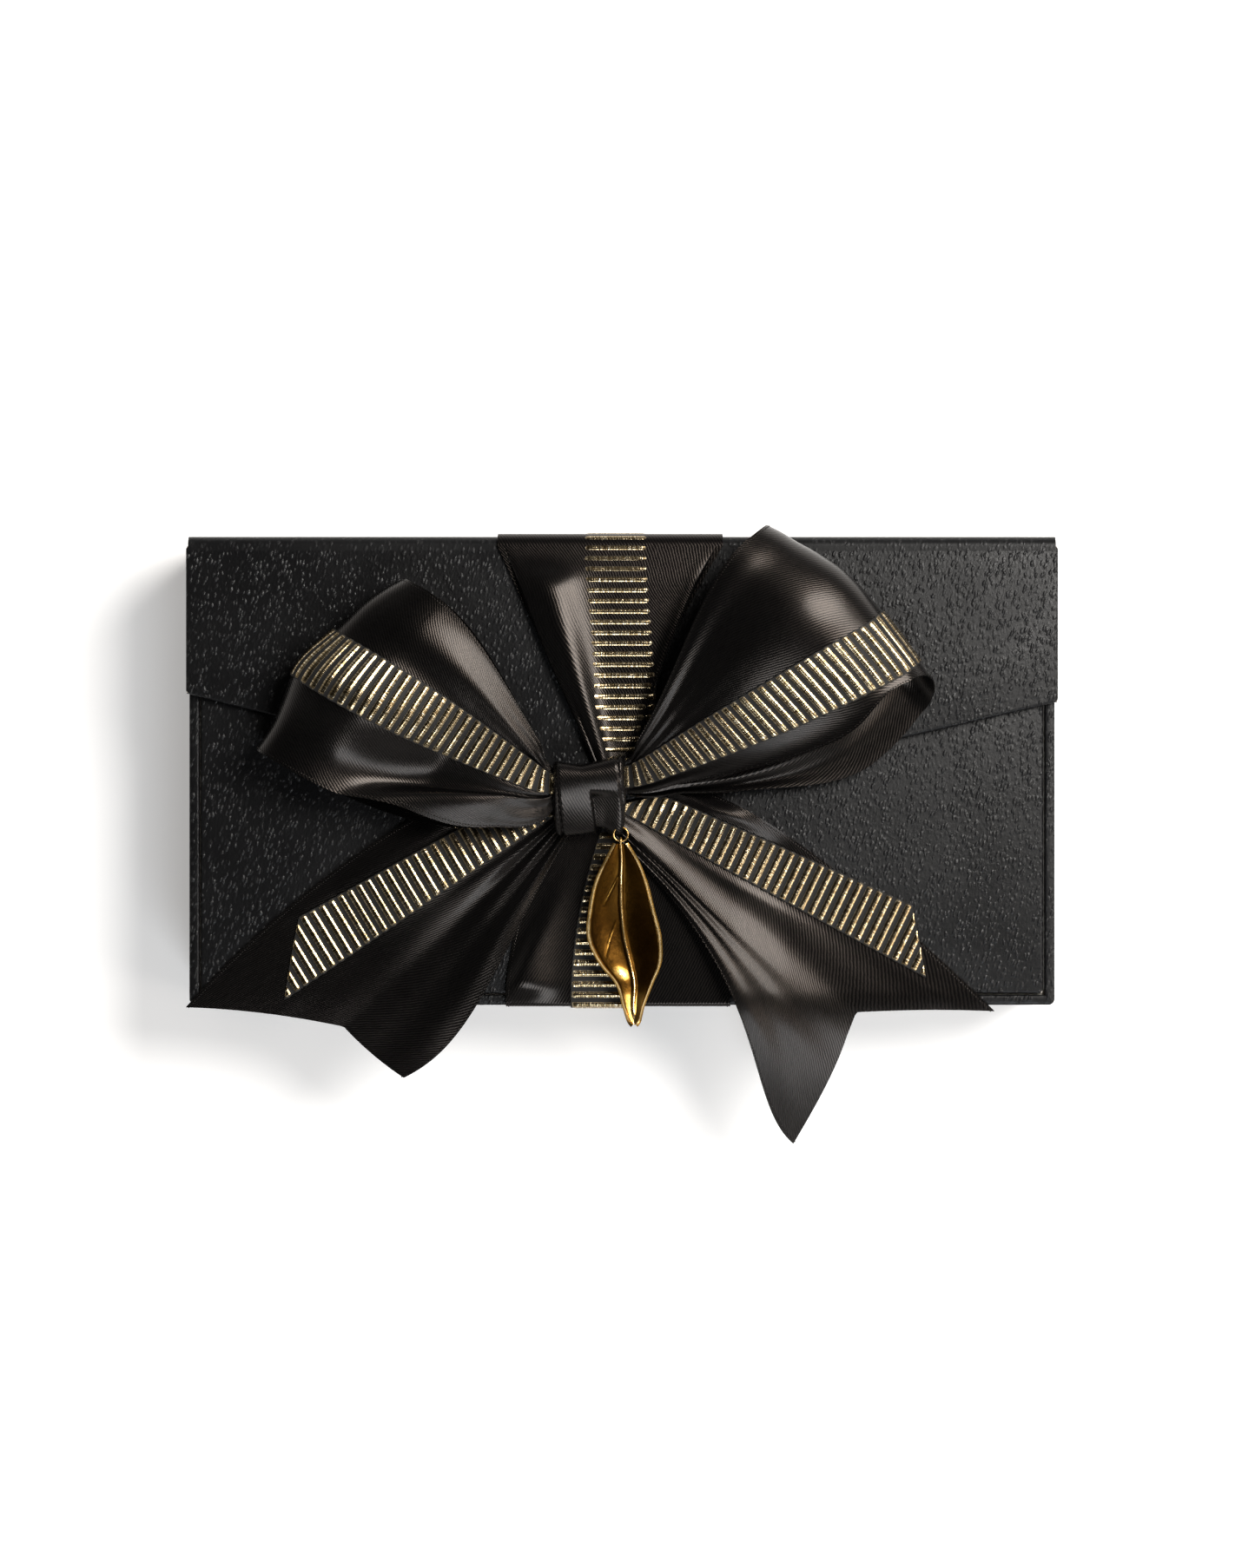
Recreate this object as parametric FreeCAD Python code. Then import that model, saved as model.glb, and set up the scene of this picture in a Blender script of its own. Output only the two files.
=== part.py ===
import FreeCAD, Part
import math
import os

# Gift box. A greyboard tray wrapped in pebbled paper, with a V-edged flap hinged along its back
# edge and a fixed lower panel set inside its rim. A satin band with a ribbed gold band on it goes
# round the box and is tied in a bow, and a leaf charm hangs from the knot on a small ring.
# Millimetres. The origin is on the surface that the box rests on, +X right, +Y back, +Z up.

# Box
box_length = 220.0
box_width = 119.0
tray_height = 36.0
board = 2.0
paper = 0.25
corner_radius = 1.6
rim_turn_in = 12.0
base_turn_in = 14.0

# Flap and lower panel
flap_left_depth = 39.8
flap_right_depth = 42.0
flap_tip_depth = 67.5
flap_overhang = 0.6
panel_gap = 0.4
ledge_width = 7.0
magnet_diameter = 8.0
magnet_thick = 1.2
magnet_fit = 0.1
magnet_margin = 2.0

# Ribbons: lay is the air between two ribbons that lie on each other
satin_width = 57.0
satin_thick = 0.4
gold_width = 16.0
gold_thick = 0.5
lay = 0.08
free_gap = 0.4
satin_front_x = -1.0
satin_back_x = -3.0
gold_front_x = -5.0
gold_back_x = -1.6

# Band on the flap and on the lower panel: each waist is the width at the bow's end of the run
upper_satin_waist = 8.0
upper_gold_waist = 4.0
upper_end_x = -0.2
upper_pleat = 1.2
upper_steps = 6
lower_satin_waist = 22.0
lower_gold_waist = 5.0

# Knot
knot_x = -8.2
knot_behind_tip = 2.3
knot_length = 18.2
knot_depth = 20.2
knot_height = 8.0
knot_wall = 1.3
knot_taper = 0.7
knot_round = 2.2

# Loops: root_y is measured from the knot's middle, and heading and fold_axis are plan angles from +X.
# The plus selvedge is on the right of the heading, a spread over 1 opens late, and lean is how far the
# lower layer stands out sideways
neck_width = 8.0
neck_gap = 0.3
neck_depth = 5.0
neck_gold_width = 5.0
loop_pleat = 1.3
loop_shares = (0.06, 0.15, 0.3, 0.5, 0.7, 0.88)
fold_step = 30
left_loop = dict(side=-1, root_y=1.4, heading=150.9, length=62.4, fold_axis=49.0, fold_radius=5.5,
                 crown=1.6, spread_plus=1.1, spread_minus=0.57, lean=0.0, gold_shift=0.0)
right_loop = dict(side=1, root_y=3.0, heading=37.6, length=71.9, fold_axis=-42.5, fold_radius=8.0,
                  crown=1.2, spread_plus=1.08, spread_minus=1.4, lean=6.0, gold_shift=15.0)

# Tails: end_axis is the plan angle of the line through both tips, towards the plus selvedge
tail_root_width = 7.0
tail_gold_root = 5.0
tail_drop = 22.0
tail_swell = 1.3
tail_fold_pitch = 30.0
tail_bend = 45.0
tail_settle = 15.0
tail_spare = 3.0
tail_steps = 12
tail_satin_rows = 11
tail_gold_rows = 5
left_tail = dict(root_x=-4.3, root_y=-6.8, heading=218.6, length=89.0, end_axis=162.0, tip_span=58.2,
                 spread_plus=0.5, spread_minus=1.15, notch_depth=8.3, notch_shift=-11.0,
                 gold_heading=206.0, gold_length=79.5, gold_end_axis=80.0, gold_end_span=20.6)
right_tail = dict(root_x=4.7, root_y=-6.3, heading=-42.3, length=97.0, end_axis=-145.7, tip_span=61.4,
                  spread_plus=2.8, spread_minus=0.5, notch_depth=19.2, notch_shift=-1.4,
                  gold_heading=-23.0, gold_length=85.0, gold_end_axis=-79.0, gold_end_span=20.0)

# Leaf charm and the ring that it hangs from. A leaf row is (share of the length, share of the
# half-width, sideways)
leaf_length = 44.5
leaf_width = 18.2
leaf_thick = 0.8
leaf_cup = 3.4
leaf_rib = 0.5
leaf_tip_curl = 4.5
leaf_rows = [(0.0, 0.14, 0.0), (0.08, 0.36, 0.2), (0.2, 0.63, 0.1), (0.36, 0.86, 0.2), (0.53, 1.0, 1.0),
             (0.66, 0.82, 2.0), (0.77, 0.46, 2.7), (0.9, 0.22, 2.3), (1.0, 0.09, 2.6)]
ring_x = -0.3
ring_radius = 1.8
ring_wire = 0.25
ring_sunk = 1.6
ring_height = 3.0
eyelet_hole = 0.6
eyelet_wire = 0.3

# Levels and faces worked out from the sizes above
run_stack = satin_thick + lay + gold_thick
box_bottom = satin_thick + gold_thick
rim = box_bottom + tray_height
floor_top = box_bottom + paper + board
flap_thick = board + 2 * paper
flap_top = rim + flap_thick
half_length = box_length / 2
back = box_width / 2
front = -back
wall_inset = paper + board
inner_inset = wall_inset + paper
flap_half = half_length + flap_overhang
flap_rear = back - flap_thick
flap_tip = back - flap_tip_depth
left_slope = (flap_tip_depth - flap_left_depth) / flap_half
right_slope = (flap_tip_depth - flap_right_depth) / flap_half
magnet_setback = magnet_diameter / 2 + magnet_margin
panel_tip = flap_tip + magnet_setback + magnet_diameter / 2 + magnet_margin
panel_top = rim - paper
panel_bottom = panel_top - board
ledge_bottom = panel_bottom - board
tail_lift = satin_thick + 3 * lay
knot_y = flap_tip + knot_behind_tip
knot_bottom = flap_top + run_stack + lay
knot_top = knot_bottom + knot_height
knot_front = knot_y - knot_depth / 2
knot_start = knot_x - knot_length / 2
knot_end = knot_x + knot_length / 2
UP = FreeCAD.Vector(0, 0, 1)

os.makedirs("parts", exist_ok=True)


def save(name, shape):
    shape.exportStep(f"parts/{name}.step")


def heading_vector(degrees):
    turn = math.radians(degrees)
    return FreeCAD.Vector(math.cos(turn), math.sin(turn), 0)


def smooth(share):
    t = min(1.0, max(0.0, share))
    return t * t * (3 - 2 * t)


def block(x0, x1, y0, y1, z0, z1):
    return Part.makeBox(x1 - x0, y1 - y0, z1 - z0, FreeCAD.Vector(x0, y0, z0))


def prism(points, z0, z1):
    """An upright solid on a closed outline of (x, y) points."""
    ring = [FreeCAD.Vector(x, y, z0) for x, y in points]
    return Part.Face(Part.makePolygon(ring + ring[:1])).extrude(UP * (z1 - z0))


def inset_block(inset, z0, z1, radius=0.0):
    """The box's plan drawn in by an inset, as an upright solid with rounded upright edges."""
    solid = block(-half_length + inset, half_length - inset, front + inset, back - inset, z0, z1)
    if radius > 0:
        upright = [edge for edge in solid.Edges if abs(edge.tangentAt(edge.FirstParameter).z) > 0.9]
        solid = solid.makeFillet(radius, upright)
    return solid


def joined(solids):
    return solids[0].fuse(solids[1:]).removeSplitter()


# Tray boards: the base lies between the walls, and the end walls between the long walls
board_corner = corner_radius - paper
wall_bottom = box_bottom + paper
wall_top = rim - paper
shell = inset_block(paper, wall_bottom, wall_top, board_corner)
shell = shell.cut(inset_block(wall_inset, wall_bottom, wall_top))
inner_half = half_length - wall_inset
inner_back = back - wall_inset
end_cut = block(-inner_half, inner_half, front, back, wall_bottom, wall_top)
long_sides = block(-half_length, half_length, -inner_back, inner_back, wall_bottom, wall_top)
front_side = block(-half_length, half_length, front, 0, wall_bottom, wall_top)
left_side = block(-half_length, 0, front, back, wall_bottom, wall_top)
long_walls = shell.cut(long_sides)
end_walls = shell.common(long_sides).cut(end_cut)
save("base_board", inset_block(wall_inset, wall_bottom, floor_top))
save("front_wall", long_walls.common(front_side))
save("back_wall", long_walls.cut(front_side))
save("left_wall", end_walls.common(left_side))
save("right_wall", end_walls.cut(left_side))

# Tray papers: one wrap round the walls, turned in over the rim and under the base
turn_in_end = rim - rim_turn_in
skirt = inset_block(0, box_bottom, rim, corner_radius)
skirt = skirt.cut(inset_block(paper, box_bottom, rim, board_corner))
rim_cover = inset_block(0, wall_top, rim, corner_radius).cut(inset_block(inner_inset, wall_top, rim))
turn_in = inset_block(wall_inset, turn_in_end, rim).cut(inset_block(inner_inset, turn_in_end, rim))
turn_under = inset_block(0, box_bottom, wall_bottom, corner_radius)
turn_under = turn_under.cut(inset_block(base_turn_in, box_bottom, wall_bottom))
inner_wall = inset_block(wall_inset, floor_top, turn_in_end)
save("tray_wrap", joined([skirt, rim_cover, turn_in, turn_under]))
save("base_paper", inset_block(base_turn_in, box_bottom, wall_bottom))
save("floor_lining", inset_block(inner_inset, floor_top, floor_top + paper))
save("wall_lining", inner_wall.cut(inset_block(inner_inset, floor_top, turn_in_end)))


def v_plate(half_width, tip_y, edge_y, z0, z1):
    """A plate with a straight edge at edge_y and a V edge opposite, whose point is at x = 0."""
    left = (-half_width, tip_y + left_slope * half_width)
    right = (half_width, tip_y + right_slope * half_width)
    return prism([left, (0, tip_y), right, (half_width, edge_y), (-half_width, edge_y)], z0, z1)


# Lower panel: a wrapped board inside the rim, carried on three ledges glued to the walls
panel_half = half_length - inner_inset - panel_gap
panel_front = front + inner_inset + panel_gap
panel_core = v_plate(panel_half - paper, panel_tip - paper, panel_front + paper, panel_bottom, panel_top)
panel_whole = v_plate(panel_half, panel_tip, panel_front, panel_bottom, rim)
magnet_y = flap_tip + magnet_setback
magnet_spot = FreeCAD.Vector(0, magnet_y, 0)
pocket_radius = magnet_diameter / 2 + magnet_fit
keeper_bottom = panel_top - magnet_thick
keeper_pocket = Part.makeCylinder(pocket_radius, magnet_thick, magnet_spot + UP * keeper_bottom)
save("panel_board", panel_core.cut(keeper_pocket))
save("panel_wrap", panel_whole.cut(panel_core))
save("keeper_plate", Part.makeCylinder(magnet_diameter / 2, magnet_thick, magnet_spot + UP * keeper_bottom))

ledge_half = half_length - inner_inset
ledge_front = front + inner_inset
left_ledge_end = panel_tip + left_slope * panel_half - panel_gap
right_ledge_end = panel_tip + right_slope * panel_half - panel_gap
side_ledge_start = ledge_front + ledge_width
ledge_inner = ledge_half - ledge_width
ledge_levels = (ledge_bottom, panel_bottom)
save("front_ledge", block(-ledge_half, ledge_half, ledge_front, side_ledge_start, *ledge_levels))
save("left_ledge", block(-ledge_half, -ledge_inner, side_ledge_start, left_ledge_end, *ledge_levels))
save("right_ledge", block(ledge_inner, ledge_half, side_ledge_start, right_ledge_end, *ledge_levels))

# Flap: a board between a lining and a wrap, with the magnet let into its underside
flap_bottom = rim + paper
flap_core = v_plate(flap_half - paper, flap_tip + paper, flap_rear, flap_bottom, flap_top - paper)
magnet_pocket = Part.makeCylinder(pocket_radius, magnet_thick, magnet_spot + UP * flap_bottom)
save("flap_lining", v_plate(flap_half, flap_tip, flap_rear, rim, flap_bottom))
save("flap_board", flap_core.cut(magnet_pocket))
save("flap_wrap", v_plate(flap_half, flap_tip, flap_rear, flap_bottom, flap_top).cut(flap_core))
save("flap_magnet", Part.makeCylinder(magnet_diameter / 2, magnet_thick, magnet_spot + UP * flap_bottom))


def side_point(y, z, radius, degrees):
    turn = math.radians(degrees)
    return FreeCAD.Vector(0, y + radius * math.cos(turn), z + radius * math.sin(turn))


def side_arc(y, z, radius, start, end):
    """An arc in the plane of the box's side, or nothing where its radius is nothing."""
    if radius <= 0:
        return []
    stops = [side_point(y, z, radius, angle) for angle in (start, (start + end) / 2, end)]
    return [Part.Arc(*stops).toShape()]


def side_band(edges, centre_x, width):
    """A profile in the plane of the box's side, drawn out along X into a band."""
    face = Part.Face(Part.Wire(Part.__sortEdges__(edges)))
    face.translate(FreeCAD.Vector(centre_x - width / 2, 0, 0))
    return face.extrude(FreeCAD.Vector(width, 0, 0))


def side_line(y0, z0, y1, z1):
    return Part.makeLine(FreeCAD.Vector(0, y0, z0), FreeCAD.Vector(0, y1, z1))


def spine_turn(radius, thick, centre_x, width):
    """A quarter turn over the back edge, round the end of the flap's rear gap."""
    outer = radius + thick
    edges = side_arc(flap_rear, rim, radius, 0, 90) + side_arc(flap_rear, rim, outer, 0, 90)
    edges.append(side_line(flap_rear + radius, rim, flap_rear + outer, rim))
    edges.append(side_line(flap_rear, rim + radius, flap_rear, rim + outer))
    return side_band(edges, centre_x, width)


def front_run(start, thick, centre_x, width):
    """A band up the front wall, with a quarter turn over the rim and one under the base."""
    end = start + thick
    edges = []
    for radius in (start, end):
        edges.append(side_line(front - radius, box_bottom, front - radius, rim))
        edges += side_arc(front, rim, radius, 90, 180)
        edges += side_arc(front, box_bottom, radius, 180, 270)
    edges.append(side_line(front, rim + start, front, rim + end))
    edges.append(side_line(front, box_bottom - start, front, box_bottom - end))
    return side_band(edges, centre_x, width)


def back_run(start, thick, centre_x, width):
    """A band up the back wall from a quarter turn under the base to the hinge."""
    end = start + thick
    edges = []
    for radius in (start, end):
        edges.append(side_line(back + radius, box_bottom, back + radius, rim))
        edges += side_arc(back, box_bottom, radius, 270, 360)
    edges.append(side_line(back + start, rim, back + end, rim))
    edges.append(side_line(back, box_bottom - start, back, box_bottom - end))
    return side_band(edges, centre_x, width)


def flat_run(front_x, front_width, rear_x, rear_width, rear_y, z0, z1):
    """A flat band from the box's front edge back to rear_y."""
    front_half = front_width / 2
    rear_half = rear_width / 2
    return prism([(front_x - front_half, front), (front_x + front_half, front),
                  (rear_x + rear_half, rear_y), (rear_x - rear_half, rear_y)], z0, z1)


# Hinge paper and the bands round the tray; the lower runs end beside the flap's tip
lower_end = flap_tip - free_gap
satin_top = rim + satin_thick
save("hinge_strip", spine_turn(flap_thick - paper, paper, 0, box_length))
save("satin_spine_turn", spine_turn(flap_thick, satin_thick, satin_back_x, satin_width))
save("gold_spine_turn", spine_turn(flap_thick + satin_thick, gold_thick, gold_back_x, gold_width))
save("satin_back_run", back_run(0, satin_thick, satin_back_x, satin_width))
save("gold_back_run", back_run(satin_thick, gold_thick, gold_back_x, gold_width))
save("satin_under_run", flat_run(satin_front_x, satin_width, satin_back_x, satin_width, back,
                                 gold_thick, box_bottom))
save("gold_under_run", flat_run(gold_front_x, gold_width, gold_back_x, gold_width, back, 0, gold_thick))
save("satin_front_run", front_run(0, satin_thick, satin_front_x, satin_width))
save("gold_front_run", front_run(satin_thick, gold_thick, gold_front_x, gold_width))
save("satin_lower_run", flat_run(satin_front_x, satin_width, satin_front_x, lower_satin_waist, lower_end,
                                 rim, satin_top))
save("gold_lower_run", flat_run(gold_front_x, gold_width, gold_front_x, lower_gold_waist, lower_end,
                                satin_top, satin_top + gold_thick))


def folded_solid(rings):
    """A solid through matching polygon sections. Each patch between two sections is two flat triangles,
    folded along its shorter diagonal."""
    outlines = [rings[0], rings[-1]]
    for ring, following in zip(rings, rings[1:]):
        for index in range(len(ring)):
            a, b = ring[index - 1], ring[index]
            c, d = following[index], following[index - 1]
            if (a - c).Length < (b - d).Length:
                outlines += [[a, b, c], [a, c, d]]
            else:
                outlines += [[a, b, d], [b, c, d]]
    faces = [Part.Face(Part.makePolygon(outline + outline[:1])) for outline in outlines]
    solid = Part.makeSolid(Part.makeShell(faces))
    if solid.Volume < 0:
        solid.reverse()
    return solid.removeSplitter()


def ribbon(stations, thick):
    """A ribbon through thin sections. A station is (centre, across, normal, rows), and each row is
    (distance across, height along the normal) of the ribbon's lower face."""
    rings = []
    for centre, across, normal, rows in stations:
        lower = [centre + across * a + normal * h for a, h in rows]
        upper = [point + normal * thick for point in reversed(lower)]
        rings.append(lower + upper)
    return folded_solid(rings)


def pleated_rows(minus, plus, gold_centre, gold_half, pleat):
    """Rows of a satin section: flat under the gold band, with one pleat towards each selvedge."""
    inner_plus = gold_centre + gold_half
    inner_minus = gold_half - gold_centre
    return [(-minus, 0), (-(2 * minus + inner_minus) / 3, pleat), (-(minus + 2 * inner_minus) / 3, 0),
            (-inner_minus, 0), (inner_plus, 0), ((plus + 2 * inner_plus) / 3, 0),
            ((2 * plus + inner_plus) / 3, pleat), (plus, 0)]


def between(start, end, share):
    return start + (end - start) * share


def upper_run(is_gold):
    """A fan on the flap, from the hinge to its end under the knot."""
    stations = []
    for step in range(upper_steps + 1):
        share = step / upper_steps
        half = between(satin_width, upper_satin_waist, share) / 2
        gold_half = between(gold_width, upper_gold_waist, share ** 2) / 2
        x = between(satin_back_x, upper_end_x, share)
        gold_centre = between(gold_back_x, upper_end_x, share) - x
        centre = FreeCAD.Vector(x, between(flap_rear, knot_y, share), flap_top)
        if is_gold:
            rows = [(gold_centre - gold_half, satin_thick), (gold_centre + gold_half, satin_thick)]
        else:
            rows = pleated_rows(half, half, gold_centre, gold_half, upper_pleat * math.sin(math.pi * share))
        stations.append((centre, FreeCAD.Vector(1, 0, 0), UP, rows))
    return ribbon(stations, gold_thick if is_gold else satin_thick)


# Bands on the flap
save("satin_upper_run", upper_run(False))
save("gold_upper_run", upper_run(True))


def knot_section(x, shrink):
    """The knot's outline across X: a flat sole, round lower corners and a domed crown."""
    half = knot_depth / 2 - shrink
    crown = knot_top - shrink
    shoulder = crown - 2 * knot_round
    cut = knot_round * (1 - math.sqrt(0.5))

    def at(y, z):
        return FreeCAD.Vector(x, knot_y + y, z)

    sole = [at(side * (half - knot_round), knot_bottom) for side in (-1, 1)]
    corner = [at(side * (half - cut), knot_bottom + cut) for side in (-1, 1)]
    foot = [at(side * half, knot_bottom + knot_round) for side in (-1, 1)]
    top = [at(side * half, shoulder) for side in (-1, 1)]
    return Part.Wire([Part.makeLine(sole[0], sole[1]), Part.Arc(sole[1], corner[1], foot[1]).toShape(),
                      Part.makeLine(foot[1], top[1]), Part.Arc(top[1], at(0, crown), top[0]).toShape(),
                      Part.makeLine(top[0], foot[0]), Part.Arc(foot[0], corner[0], sole[0]).toShape()])


# Knot: a band of satin wound round the necks of the loops, which pass through it along X
knot_quarter = knot_length / 4
waist_bottom = knot_bottom + knot_wall
waist_top = knot_top - knot_wall - knot_round / 2
neck_reach = neck_width / 2 + neck_gap
waist_front = knot_y + min(left_loop["root_y"], right_loop["root_y"]) - neck_reach
waist_rear = knot_y + max(left_loop["root_y"], right_loop["root_y"]) + neck_reach
knot_body = Part.makeLoft([knot_section(knot_start, knot_taper), knot_section(knot_start + knot_quarter, 0),
                           knot_section(knot_end - knot_quarter, 0), knot_section(knot_end, knot_taper)],
                          True, True)
save("bow_knot", knot_body.cut(block(knot_start, knot_end, waist_front, waist_rear, waist_bottom, waist_top)))


def spread(neck, whole, share, power):
    """A half-width that opens from the neck to the whole ribbon."""
    return between(neck / 2, whole / 2, math.sin(math.pi / 2 * share ** power))


def loop_path(loop):
    """The loop from its side, as (share of the way out, along, up): the neck in the knot, out above,
    round the fold, back below and into the knot again."""
    radius = loop["fold_radius"]
    straight = loop["length"] - radius
    double = lay + gold_thick + lay + satin_thick
    bed = flap_top + double
    low_root = waist_bottom + double
    high_root = waist_top - double
    fold_top = bed + 2 * radius
    path = [(0.0, -neck_depth, high_root), (0.0, 0.0, high_root)]
    for share in loop_shares:
        crown = loop["crown"] * math.sin(math.pi * share)
        path.append((share, straight * share, between(high_root, fold_top, smooth(share)) + crown))
    for angle in range(90, -90 - fold_step, -fold_step):
        turn = math.radians(angle)
        path.append((1.0, straight + radius * math.cos(turn), bed + radius + radius * math.sin(turn)))
    for share in reversed(loop_shares):
        path.append((share, straight * share, between(bed, low_root, (1 - share) ** 2)))
    path += [(0.0, 0.0, low_root), (0.0, -neck_depth, low_root)]
    return path


def loop_stations(loop, is_gold):
    side = loop["side"]
    outward = FreeCAD.Vector(side, 0, 0)
    heading = heading_vector(loop["heading"])
    face_x = knot_x + side * (knot_length / 2 + neck_gap)
    root = FreeCAD.Vector(face_x, knot_y + loop["root_y"], 0)
    path = loop_path(loop)
    last = len(path) - 1
    stations = []
    for index, (share, along, up) in enumerate(path):
        in_neck = along <= 0
        way = outward if in_neck else heading
        across = heading_vector(between(loop["heading"] - 90, loop["fold_axis"], share ** 2))
        if in_neck:
            across = outward.cross(UP)
        before = path[max(0, index - 1)]
        after = path[min(last, index + 1)]
        travel = way * (after[1] - before[1]) + UP * (after[2] - before[2])
        if in_neck:
            travel = outward if index < last / 2 else outward * -1
        below = index > last / 2
        shift = loop["lean"] * math.sin(math.pi * share) if below else 0.0
        centre = root + way * along + UP * up + across * shift
        gold_half = spread(neck_gold_width, gold_width, share, 1)
        gold_centre = loop["gold_shift"] * share
        if is_gold:
            lift = satin_thick + lay
            rows = [(gold_centre - gold_half, lift), (gold_centre + gold_half, lift)]
        else:
            plus = spread(neck_width, satin_width, share, loop["spread_plus"])
            minus = spread(neck_width, satin_width, share, loop["spread_minus"])
            rows = pleated_rows(minus, plus, gold_centre, gold_half, -loop_pleat * math.sin(math.pi * share))
        stations.append((centre, across, across.cross(travel).normalize(), rows))
    return stations


for name, loop in (("left", left_loop), ("right", right_loop)):
    save(f"satin_{name}_loop", ribbon(loop_stations(loop, False), satin_thick))
    save(f"gold_{name}_loop", ribbon(loop_stations(loop, True), gold_thick))


def tail_root(tail):
    return FreeCAD.Vector(knot_x + tail["root_x"], knot_y + tail["root_y"], 0)


def tail_height(tail, point):
    """A tail's lower face: from under the knot down onto the panel, and bending over the front edge."""
    beside = abs(point.x - satin_front_x) - satin_width / 2
    bed = rim + free_gap + run_stack * (1 - smooth(beside / tail_settle))
    offset = point - tail_root(tail)
    along = offset.dot(heading_vector(tail["heading"]))
    across = offset.dot(heading_vector(tail["heading"] - 90))
    under_knot = knot_bottom - lay - gold_thick - tail_lift
    wave = (1 - math.cos(2 * math.pi * across / tail_fold_pitch)) / 2
    past = max(0.0, front - point.y)
    level = between(under_knot, bed, smooth(along / tail_drop))
    return level + tail_swell * wave * smooth(along / tail["length"]) - past ** 2 / (2 * tail_bend)


def tail_ribbon(tail, heading, length, end_axis, plus_minus_at, row_count, lift, thick):
    """A tail from under the knot to its end, whose half-widths at a share of its length are given."""
    stations = []
    for step in range(tail_steps + 1):
        share = step / tail_steps
        across = heading_vector(between(heading - 90, end_axis, share ** 2))
        centre = tail_root(tail) + heading_vector(heading) * (length * share)
        plus, minus = plus_minus_at(share)
        rows = []
        for row in range(row_count):
            a = between(-minus, plus, row / (row_count - 1))
            rows.append((a, tail_height(tail, centre + across * a) + lift))
        stations.append((centre, across, UP, rows))
    return ribbon(stations, thick)


def satin_tail(tail):
    def plus_minus_at(share):
        return [spread(tail_root_width, tail["tip_span"], share, tail[key])
                for key in ("spread_plus", "spread_minus")]

    length = tail["length"] + tail_spare
    return tail_ribbon(tail, tail["heading"], length, tail["end_axis"], plus_minus_at,
                       tail_satin_rows, 0, satin_thick)


def gold_tail(tail):
    def plus_minus_at(share):
        half = spread(tail_gold_root, tail["gold_end_span"], share, 1)
        return half, half

    return tail_ribbon(tail, tail["gold_heading"], tail["gold_length"], tail["gold_end_axis"], plus_minus_at,
                       tail_gold_rows, tail_lift, gold_thick)


def swallow_cut(tail):
    """The wedge that is cut out of a tail's end, between its two tips."""
    way = heading_vector(tail["heading"])
    across = heading_vector(tail["end_axis"])
    outward = UP.cross(across)
    if outward.dot(way) < 0:
        outward = outward * -1
    middle = tail_root(tail) + way * tail["length"]
    half_span = across * (tail["tip_span"] / 2)
    apex = middle + across * tail["notch_shift"] - outward * tail["notch_depth"]
    outline = [apex] + [apex + (tip - apex) * 2 for tip in (middle + half_span, middle - half_span)]
    return prism([(p.x, p.y) for p in outline], 0, knot_top)


for name, tail in (("left", left_tail), ("right", right_tail)):
    save(f"satin_{name}_tail", satin_tail(tail).cut(swallow_cut(tail)))
    save(f"gold_{name}_tail", gold_tail(tail))


# Leaf charm: a cupped blade with a midrib and a drawn-out tip, cast with an eyelet at its top
ring_centre = FreeCAD.Vector(ring_x, knot_front + ring_sunk - ring_radius, knot_bottom + ring_height)
hinge_point = ring_centre - FreeCAD.Vector(0, ring_radius, 0)
eyelet_radius = eyelet_hole + eyelet_wire
leaf_root = hinge_point.y - eyelet_radius
leaf_bed = rim + run_stack + free_gap


def leaf_section(share, width_share, sideways):
    """The blade's outline across Y: the bowl's outside, its edges, and the inside with the midrib."""
    half = leaf_width / 2 * width_share
    curl = leaf_tip_curl * smooth(2 * share - 1) ** 2
    keel = between(hinge_point.z - eyelet_wire, leaf_bed, smooth(2 * share)) + curl
    edge = keel + leaf_cup * width_share
    thick = min(leaf_thick, half / 2)
    rib = min(leaf_rib, half / 3)
    inner = half - thick
    floor = keel + thick
    outside = [(t * half, between(keel, edge, t * t)) for t in (-1, -0.75, -0.4, 0, 0.4, 0.75, 1)]
    inside = [(t * inner, between(floor, edge, t * t)) for t in (1, 0.7)] + [(rib, floor), (0, floor + rib)]
    inside += [(-dx, z) for dx, z in reversed(inside[:-1])]
    x = ring_x + sideways
    return [FreeCAD.Vector(x + dx, leaf_root - leaf_length * share, z) for dx, z in outside + inside]


def wire_ring(radius, wire, centre, axis):
    """A ring of wire, drawn with six flats round the wire."""
    out = axis.cross(FreeCAD.Vector(0, 1, 0))
    turns = [math.radians(degrees) for degrees in range(0, 360, 60)]
    section = [centre + out * (radius + wire * math.cos(t)) + axis * (wire * math.sin(t)) for t in turns]
    return Part.Face(Part.makePolygon(section + section[:1])).revolve(centre, axis, 360)


blade = folded_solid([leaf_section(*row) for row in leaf_rows])
eyelet = wire_ring(eyelet_radius, eyelet_wire, hinge_point, FreeCAD.Vector(1, 0, 0))
save("leaf_charm", joined([blade, eyelet]))

# Charm ring: sewn into the knot's front, and through the leaf's eyelet
save("charm_ring", wire_ring(ring_radius, ring_wire, ring_centre, UP))
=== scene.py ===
import math

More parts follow.
